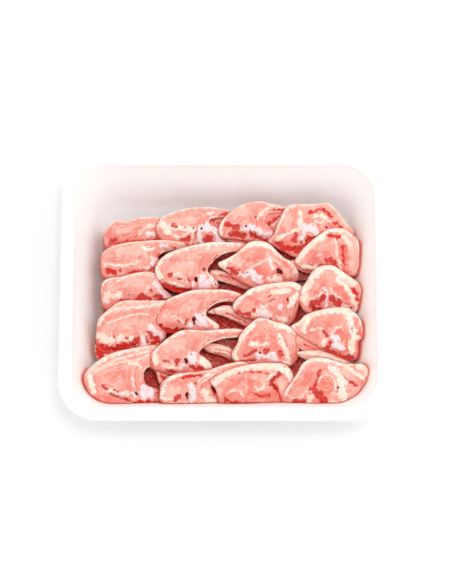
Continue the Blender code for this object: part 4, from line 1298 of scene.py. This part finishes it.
def tray_profile():
    """Stations round the foam's whole section: underside, outer wall, rim, then the inside."""
    under_rim = TRAY_HEIGHT - FOAM
    rim_foot = TRAY_HEIGHT - RIM_DROP
    turn = RIM_ROUND / 2
    stations = [(WALL_RUN + FOOT_ROUND, 0.0), (WALL_RUN, FOOT_ROUND / 4), (WALL_RUN - FOAM, FOOT_ROUND)]
    stations += [(-FOAM, under_rim - turn), (-FOAM - turn, under_rim)]
    stations += [(RIM_ROUND - RIM_WIDTH, under_rim), (turn - RIM_WIDTH, rim_foot)]
    stations += [(-RIM_WIDTH, rim_foot + turn)]
    stations += arc((RIM_ROUND - RIM_WIDTH, TRAY_HEIGHT - RIM_ROUND), RIM_ROUND, 0, 90)
    stations += arc((-LIP_ROUND, TRAY_HEIGHT - LIP_ROUND), LIP_ROUND, 90, 165)
    return stations + inner_wall()


def make_tray(material, trees, boxes):
    rings = [rounded_rectangle(inward, height) for inward, height in tray_profile()]
    size = len(rings[0])
    points = np.vstack(rings)
    faces = []
    for level in range(len(rings) - 1):
        faces += bridge((level + 1) * size, level * size, size)
    faces.append(tuple(reversed(range(size))))
    faces.append(tuple(len(points) - size + i for i in range(size)))
    mesh = bpy.data.meshes.new("tray_foam")
    mesh.from_pydata(points.tolist(), [], faces)
    mesh.shade_smooth()
    mesh.set_sharp_from_angle(angle=math.radians(SHARP_ANGLE))
    inside = len(inner_wall()) * size
    # How near the meat each point of the inside lies, which the foam's stain and its painted pink light
    # and shade follow.
    near_meat_stain_and_shade = np.zeros(len(points), np.float32)
    near_meat_stain_and_shade[-inside:] = closeness(points[-inside:], trees, boxes, STAIN_AND_SHADE_REACH)
    mesh.attributes.new("near_meat_stain_and_shade", "FLOAT", "POINT").data.foreach_set("value", near_meat_stain_and_shade)
    place_piece("tray_foam", mesh, material, "tray")


# Shader helpers.

def feed(tree, node, inputs):
    """Sets each input of the node, or links it where it is given a socket."""
    for key, value in inputs.items():
        if isinstance(value, bpy.types.NodeSocket):
            tree.links.new(value, node.inputs[key])
        else:
            node.inputs[key].default_value = value


def add(tree, kind, inputs=None, **settings):
    """A node with its settings, and its inputs set or linked."""
    made = tree.nodes.new(kind)
    for name, value in settings.items():
        setattr(made, name, value)
    feed(tree, made, inputs or {})
    return made


def calculate(tree, operation, first, second=0.0, third=0.0):
    values = {0: first, 1: second, 2: third}
    return add(tree, "ShaderNodeMath", values, operation=operation).outputs[0]


def step_up(tree, value, low, high):
    """0 below low, 1 above high, smooth between."""
    made = add(tree, "ShaderNodeMapRange", {"Value": value, "From Min": low, "From Max": high},
               interpolation_type="SMOOTHSTEP")
    return made.outputs["Result"]


def blend(tree, share, first, second):
    """The colour that is first where share is 0 and second where it is 1."""
    made = add(tree, "ShaderNodeMix", data_type="RGBA", clamp_factor=True)
    feed(tree, made, {0: share, 6: first, 7: second})
    return made.outputs[2]


def lay(tree, under, share, strength, over):
    """A colour with another laid over it, as strongly as the share times the strength."""
    return blend(tree, calculate(tree, "MULTIPLY", share, strength), under, over)


def start_group(name, inputs, outputs):
    """An empty node group with these float inputs and these outputs, and its two end nodes."""
    group = bpy.data.node_groups.new(name, "ShaderNodeTree")
    for label, value in inputs.items():
        socket = group.interface.new_socket(name=label, in_out="INPUT", socket_type="NodeSocketFloat")
        socket.default_value = value
    for label in outputs:
        group.interface.new_socket(name=label, in_out="OUTPUT", socket_type="NodeSocketFloat")
    return group, group.nodes.new("NodeGroupInput"), group.nodes.new("NodeGroupOutput")


def place_group(tree, group, inputs):
    made = tree.nodes.new("ShaderNodeGroup")
    made.node_tree = group
    feed(tree, made, inputs)
    return made


def finish_group(group, result, outputs):
    """Links each named output of the group."""
    for label, socket in outputs.items():
        group.links.new(socket, result.inputs[label])
    return group


def start_material(name, uniform):
    """A material, its node tree and its shader, with the shader's uniform values set."""
    material = bpy.data.materials.new(name)
    material.use_nodes = True
    tree = material.node_tree
    shader = tree.nodes["Principled BSDF"]
    feed(tree, shader, uniform)
    return material, tree, shader


def ragged_edge_group():
    """Turns a distance inside a zone into its mask, with an uneven edge."""
    group, given, result = start_group(
        "ragged_edge", {"Distance": 0.0, "Raggedness": 0.6, "Grain": 400.0, "Softness": 0.5}, ["Mask"])
    place = add(group, "ShaderNodeTexCoord").outputs["Object"]
    noise = add(group, "ShaderNodeTexNoise",
                {"Vector": place, "Scale": given.outputs["Grain"], "Detail": 4.0,
                 "Roughness": 0.62, "Distortion": 0.5})
    jitter = calculate(group, "SUBTRACT", noise.outputs[0], 0.5)
    jitter = calculate(group, "MULTIPLY", jitter, given.outputs["Raggedness"])
    moved = calculate(group, "ADD", given.outputs["Distance"], jitter)
    scaled = calculate(group, "DIVIDE", moved, given.outputs["Softness"])
    return finish_group(group, result, {"Mask": step_up(group, scaled, -0.5, 0.5)})


def muscle_grain_group():
    """Muscle cut across: fine fibre ends, layers and thin veins along the edge, and slow tones."""
    group, given, result = start_group(
        "muscle_grain",
        {"Along": 0.0, "Inner": 0.0, "Fibre Scale": 900.0, "Layer Scale": 0.4, "Vein Width": 0.03},
        ["Fibres", "Layers", "Veins", "Tone"])
    place = add(group, "ShaderNodeTexCoord").outputs["Object"]
    fibres = add(group, "ShaderNodeTexNoise",
                 {"Vector": place, "Scale": given.outputs["Fibre Scale"], "Detail": 3.0,
                  "Roughness": 0.6})
    along = calculate(group, "MULTIPLY", given.outputs["Along"], 0.22)
    low = add(group, "ShaderNodeTexNoise", {"Vector": place, "Scale": 60.0, "Detail": 1.0})
    bowed = calculate(group, "MULTIPLY_ADD", low.outputs[0], 9.0, given.outputs["Inner"])
    flow = add(group, "ShaderNodeCombineXYZ", {"X": along, "Y": bowed})
    layers = add(group, "ShaderNodeTexNoise",
                 {"Vector": flow.outputs[0], "Scale": given.outputs["Layer Scale"], "Detail": 3.5,
                  "Roughness": 0.58, "Distortion": 0.25})
    away = calculate(group, "ABSOLUTE", calculate(group, "SUBTRACT", layers.outputs[0], 0.5))
    narrow = calculate(group, "DIVIDE", away, given.outputs["Vein Width"])
    tone = add(group, "ShaderNodeTexNoise", {"Vector": place, "Scale": 70.0, "Detail": 2.0})
    thin = step_up(group, tone.outputs[0], 0.38, 0.55)
    veins = calculate(group, "MULTIPLY", step_up(group, narrow, 1.0, 0.0), thin)
    return finish_group(group, result, {
        "Fibres": fibres.outputs[0], "Layers": layers.outputs[0],
        "Veins": veins, "Tone": tone.outputs[0],
    })


def moist_surface_group():
    """The fine unevenness of a moist surface: a height, and patches that are wetter."""
    group, given, result = start_group("moist_surface", {"Scale": 500.0}, ["Height", "Wetness"])
    place = add(group, "ShaderNodeTexCoord").outputs["Object"]
    fine = add(group, "ShaderNodeTexNoise",
               {"Vector": place, "Scale": given.outputs["Scale"], "Detail": 4.0, "Roughness": 0.55})
    patches = add(group, "ShaderNodeTexNoise", {"Vector": place, "Scale": 90.0, "Detail": 1.0})
    wetness = step_up(group, patches.outputs[0], 0.35, 0.65)
    return finish_group(group, result, {"Height": fine.outputs[0], "Wetness": wetness})


GROUPS = {
    "ragged": ragged_edge_group(),
    "grain": muscle_grain_group(),
    "moist": moist_surface_group(),
}


def meat_material(name, lean, bright, cap):
    """Meat whose fat, bone, marrow, seams and gaps come from the zones of its mesh, with painted light
    and shade in places.
    """
    material, tree, shader = start_material(name, MEAT_SHADER)

    def zone(label):
        return add(tree, "ShaderNodeAttribute", attribute_name=label).outputs["Fac"]

    def ragged(distance, look):
        inputs = dict(zip(("Distance", "Raggedness", "Grain", "Softness"), (distance, *look)))
        return place_group(tree, GROUPS["ragged"], inputs).outputs["Mask"]

    def mask(label):
        return ragged(zone(label), MASKS[label])

    grain = place_group(tree, GROUPS["grain"],
                        {"Along": zone("along"), "Inner": zone("inner"), "Fibre Scale": 850.0,
                         "Layer Scale": 0.36, "Vein Width": 0.036})
    moist = place_group(tree, GROUPS["moist"], {"Scale": 520.0})
    uneven = moist.outputs["Height"]
    fibres, streaks, veins, tone = (
        grain.outputs[label] for label in ("Fibres", "Layers", "Veins", "Tone"))

    # Muscle: its tone, the darker cap muscles, paler stretches, fibres and thin veins.
    mottle = calculate(tree, "MULTIPLY_ADD", streaks, 1.3, tone)
    tint = blend(tree, step_up(tree, mottle, 0.65, 1.65), lean, bright)
    tint = lay(tree, tint, mask("cap"), 0.7, cap)
    tint = lay(tree, tint, mask("pale"), 0.8, PALE)
    tint = lay(tree, tint, step_up(tree, fibres, 0.5, 0.7), 0.2, PALE)
    tint = lay(tree, tint, step_up(tree, streaks, 0.44, 0.28), 0.35, cap)
    tint = lay(tree, tint, veins, 0.8, VEIN)

    # Painted light and shade: the slice is paler at its upper end, a painted highlight, and redder
    # along its lower edge, a painted shade.
    up = zone("up")
    tint = lay(tree, tint, step_up(tree, up, 0.1, 1.0), 0.5, PALE)
    near_edge = step_up(tree, zone("inner"), 4.5, 0.8)
    low_edge_shade = calculate(tree, "MULTIPLY", step_up(tree, up, 0.05, -0.5), near_edge)
    low_edge_shade_blotches = calculate(tree, "MULTIPLY_ADD", uneven, 2.2, low_edge_shade)
    tint = lay(tree, tint, step_up(tree, low_edge_shade_blotches, 1.6, 2.2), 0.5, RED)
    tint = blend(tree, mask("red"), tint, RED)

    # The wall below the edge: layered meat and fat, with painted shade that makes it redder further
    # down.
    side = zone("side")
    wall = blend(tree, step_up(tree, streaks, 0.42, 0.58), WALL_MEAT_SHADE_RED, tint)
    wall = lay(tree, wall, step_up(tree, side, 3.0, 9.0), 0.8, SHADE_RED_DEEP)
    tint = blend(tree, step_up(tree, side, 0.6, 2.6), tint, wall)

    # Seams in their grooves, and fat that is thin and pinkish in places and gives way to the wall's
    # painted red shade further down.
    groove = ragged(calculate(tree, "ADD", zone("seam"), GROOVE), GROOVE_MASK)
    tint = lay(tree, tint, groove, 0.45, RED)
    tint = lay(tree, tint, mask("seam"), 0.8, VEIN)
    fat_tone = blend(tree, step_up(tree, tone, 0.38, 0.6), FAT, FAT_PINK)
    fat_mask = mask("fat")
    fat_lost_to_shade = calculate(tree, "MULTIPLY", step_up(tree, side, 1.0, 4.5), 0.9)
    fat_share = calculate(tree, "MULTIPLY", fat_mask, calculate(tree, "SUBTRACT", 1.0, fat_lost_to_shade))
    streaky = calculate(tree, "MULTIPLY_ADD", step_up(tree, uneven, 0.4, 0.6), 0.3, 0.7)
    tint = lay(tree, tint, fat_share, streaky, fat_tone)

    # Painted shade in the gaps, the deep zone, then sawn bone with its pores and its marrow.
    gap_shade_tone = blend(tree, step_up(tree, fibres, 0.36, 0.62), SHADE_RED_DEEP, SHADE_RED_FIBRE)
    tint = blend(tree, mask("deep"), tint, gap_shade_tone)
    sawn = lay(tree, BONE, step_up(tree, uneven, 0.5, 0.62), 0.7, BONE_PORE)
    sawn = lay(tree, sawn, step_up(tree, fibres, 0.58, 0.68), 0.55, MARROW)
    bone_mask = mask("bone")
    tint = blend(tree, bone_mask, tint, sawn)
    marrow_mask = mask("marrow")
    marrow_tone = blend(tree, step_up(tree, uneven, 0.4, 0.62), MARROW_DARK, MARROW)
    tint = lay(tree, tint, marrow_mask, 0.92, marrow_tone)
    # Painted shade: the pits in the bone are dark.
    tint = blend(tree, mask("pit"), tint, PIT_SHADE)

    # Painted shade: the meat is redder where another slice lies on or close to this one.
    contact_shade_share = calculate(tree, "MULTIPLY_ADD", fibres, 0.3, zone("contact_shade"))
    tint = lay(tree, tint, step_up(tree, contact_shade_share, 0.55, 1.15), 0.8, CONTACT_SHADE_RED)

    # Meat is wetter than fat and bone, with a fine uneven surface.
    firm = calculate(tree, "MAXIMUM", fat_mask, bone_mask)
    rough = calculate(tree, "MULTIPLY_ADD", moist.outputs["Wetness"], -0.12, 0.44)
    rough = calculate(tree, "MULTIPLY_ADD", firm, 0.08, rough)
    height = calculate(tree, "MULTIPLY_ADD", fibres, 0.6, uneven)
    marrow_rough = calculate(tree, "MULTIPLY", fibres, 0.8)
    height = calculate(tree, "MULTIPLY_ADD", marrow_mask, marrow_rough, height)
    bump = add(tree, "ShaderNodeBump", {"Strength": 0.55, "Distance": 0.0005, "Height": height})
    feed(tree, shader, {"Base Color": tint, "Roughness": rough, "Normal": bump.outputs[0]})
    return material


def foam_material():
    """Satin white foam with its fine closed beads; its juice and blood stain near the meat is partly
    painted pink light and shade.
    """
    material, tree, shader = start_material("white_foam", FOAM_SHADER)
    place = add(tree, "ShaderNodeTexCoord").outputs["Object"]
    beads = add(tree, "ShaderNodeTexVoronoi", {"Vector": place, "Scale": 620.0}, feature="SMOOTH_F1")
    moist = place_group(tree, GROUPS["moist"], {"Scale": 60.0})
    uneven = moist.outputs["Height"]
    tint = blend(tree, step_up(tree, uneven, 0.35, 0.65), FOAM_WHITE, FOAM_WARM)
    tint = lay(tree, tint, step_up(tree, beads.outputs[0], 0.3, 0.75), 0.12, FOAM_SHADE)
    # Partly real stain, partly painted light: near the meat the foam turns pink, standing in for light
    # thrown by the meat, and red at the contacts, standing in for shade.
    near_meat_stain_and_shade = add(tree, "ShaderNodeAttribute", attribute_name="near_meat_stain_and_shade").outputs["Fac"]
    juice_and_pink_light = calculate(tree, "MULTIPLY_ADD", uneven, 0.3, near_meat_stain_and_shade)
    tint = lay(tree, tint, step_up(tree, juice_and_pink_light, 0.35, 1.15), 0.5, FOAM_JUICE_AND_PINK_LIGHT)
    blood_and_shade = calculate(tree, "MULTIPLY_ADD", uneven, 0.12, near_meat_stain_and_shade)
    tint = lay(tree, tint, step_up(tree, blood_and_shade, 0.86, 1.06), 0.8, FOAM_BLOOD_AND_SHADE)
    rough = calculate(tree, "MULTIPLY_ADD", moist.outputs["Wetness"], -0.08, 0.56)
    height = calculate(tree, "MULTIPLY_ADD", uneven, 1.5, beads.outputs[0])
    bump = add(tree, "ShaderNodeBump", {"Strength": 0.18, "Distance": 0.0004, "Height": height})
    feed(tree, shader, {"Base Color": tint, "Roughness": rough, "Normal": bump.outputs[0]})
    return material


def make_heap(materials):
    """The upper layer, made from the top down, so that each slice meets finished ones above it."""
    trees, boxes = [], []
    for name, kind, lean, tip, bone, squares in reversed(HEAP):
        slab = make_slice(name, kind, lean, tip, bone, squares)
        press_under(slab, trees, boxes)
        keep_in_tray(slab, (UNDER_TOP + UNDER_CLEARANCE) * MM)
        # How near the finished slices above each point lies, for the painted contact shade.
        slab.contact_shade = closeness(slab.points, trees, boxes, CONTACT_SHADE_REACH)
        trees.insert(0, slab.tree())
        boxes.insert(0, (slab.points.min(axis=0), slab.points.max(axis=0)))
        place_slice(name + "_cut", slab, materials[kind], name)
    return trees, boxes


def make_under_layer(material):
    trees, boxes = [], []
    for row in range(UNDER_ROWS):
        for column in range(UNDER_COLUMNS):
            node = f"under_chop_{row + 1}{column + 1}"
            slab = make_under_slice(column, row)
            keep_in_tray(slab, FLOOR + UNDER_GAP * MM)
            trees.append(slab.tree())
            boxes.append((slab.points.min(axis=0), slab.points.max(axis=0)))
            place_slice(node + "_meat", slab, material, node)
    return trees, boxes


def make_floor():
    """The plain pale floor that the tray stands on."""
    mesh = bpy.data.meshes.new("floor")
    signs = ((-1, -1), (1, -1), (1, 1), (-1, 1))
    mesh.from_pydata([(x * FLOOR_REACH, y * FLOOR_REACH, 0) for x, y in signs], [], [(0, 1, 2, 3)])
    mesh.materials.append(start_material("pale_floor", FLOOR_SHADER)[0])
    floor = bpy.data.objects.new("floor", mesh)
    bpy.context.scene.collection.objects.link(floor)


def make_lamp(name, place, size, power):
    """A round lamp that faces the middle of the tray's base."""
    data = bpy.data.lights.new(name, "AREA")
    data.shape = "DISK"
    data.size = size
    data.energy = power
    lamp = bpy.data.objects.new(name, data)
    lamp.location = place
    lamp.rotation_mode = "QUATERNION"
    lamp.rotation_quaternion = (-Vector(place)).to_track_quat("-Z", "Y")
    bpy.context.scene.collection.objects.link(lamp)


def make_light():
    """A bright room, a soft lamp near the camera and a weaker one from the right."""
    world = bpy.data.worlds.new("bright_room")
    world.use_nodes = True
    background = world.node_tree.nodes["Background"]
    background.inputs["Color"].default_value = ROOM_COLOUR
    background.inputs["Strength"].default_value = ROOM_STRENGTH
    bpy.context.scene.world = world
    for name, values in LAMPS.items():
        make_lamp(name, *values)


def make_camera():
    sight = math.radians(SIGHT)
    right = Vector((1, 0, 0))
    up = Vector((0, math.sin(sight), math.cos(sight)))
    back = Vector((0, -math.cos(sight), math.sin(sight)))
    square = SQUARE * MM
    aim = Vector((0, 0, AIM_HEIGHT)) + right * AIM_RIGHT * square - up * AIM_DOWN * square
    place = aim + back * (VIEW_WIDTH * LENS / SENSOR)
    data = bpy.data.cameras.new("camera")
    data.lens = LENS
    data.sensor_width = SENSOR
    camera = bpy.data.objects.new("camera", data)
    camera.matrix_world = Matrix((
        (right.x, up.x, back.x, place.x),
        (right.y, up.y, back.y, place.y),
        (right.z, up.z, back.z, place.z),
        (0, 0, 0, 1),
    ))
    bpy.context.scene.collection.objects.link(camera)
    bpy.context.scene.camera = camera


meats = {kind: meat_material(*values) for kind, values in MEATS.items()}
heap_trees, heap_boxes = make_heap(meats)
under_trees, under_boxes = make_under_layer(meats["under"])
make_tray(foam_material(), heap_trees + under_trees, heap_boxes + under_boxes)
make_floor()
make_light()
make_camera()
bpy.context.scene.view_settings.view_transform = "Standard"
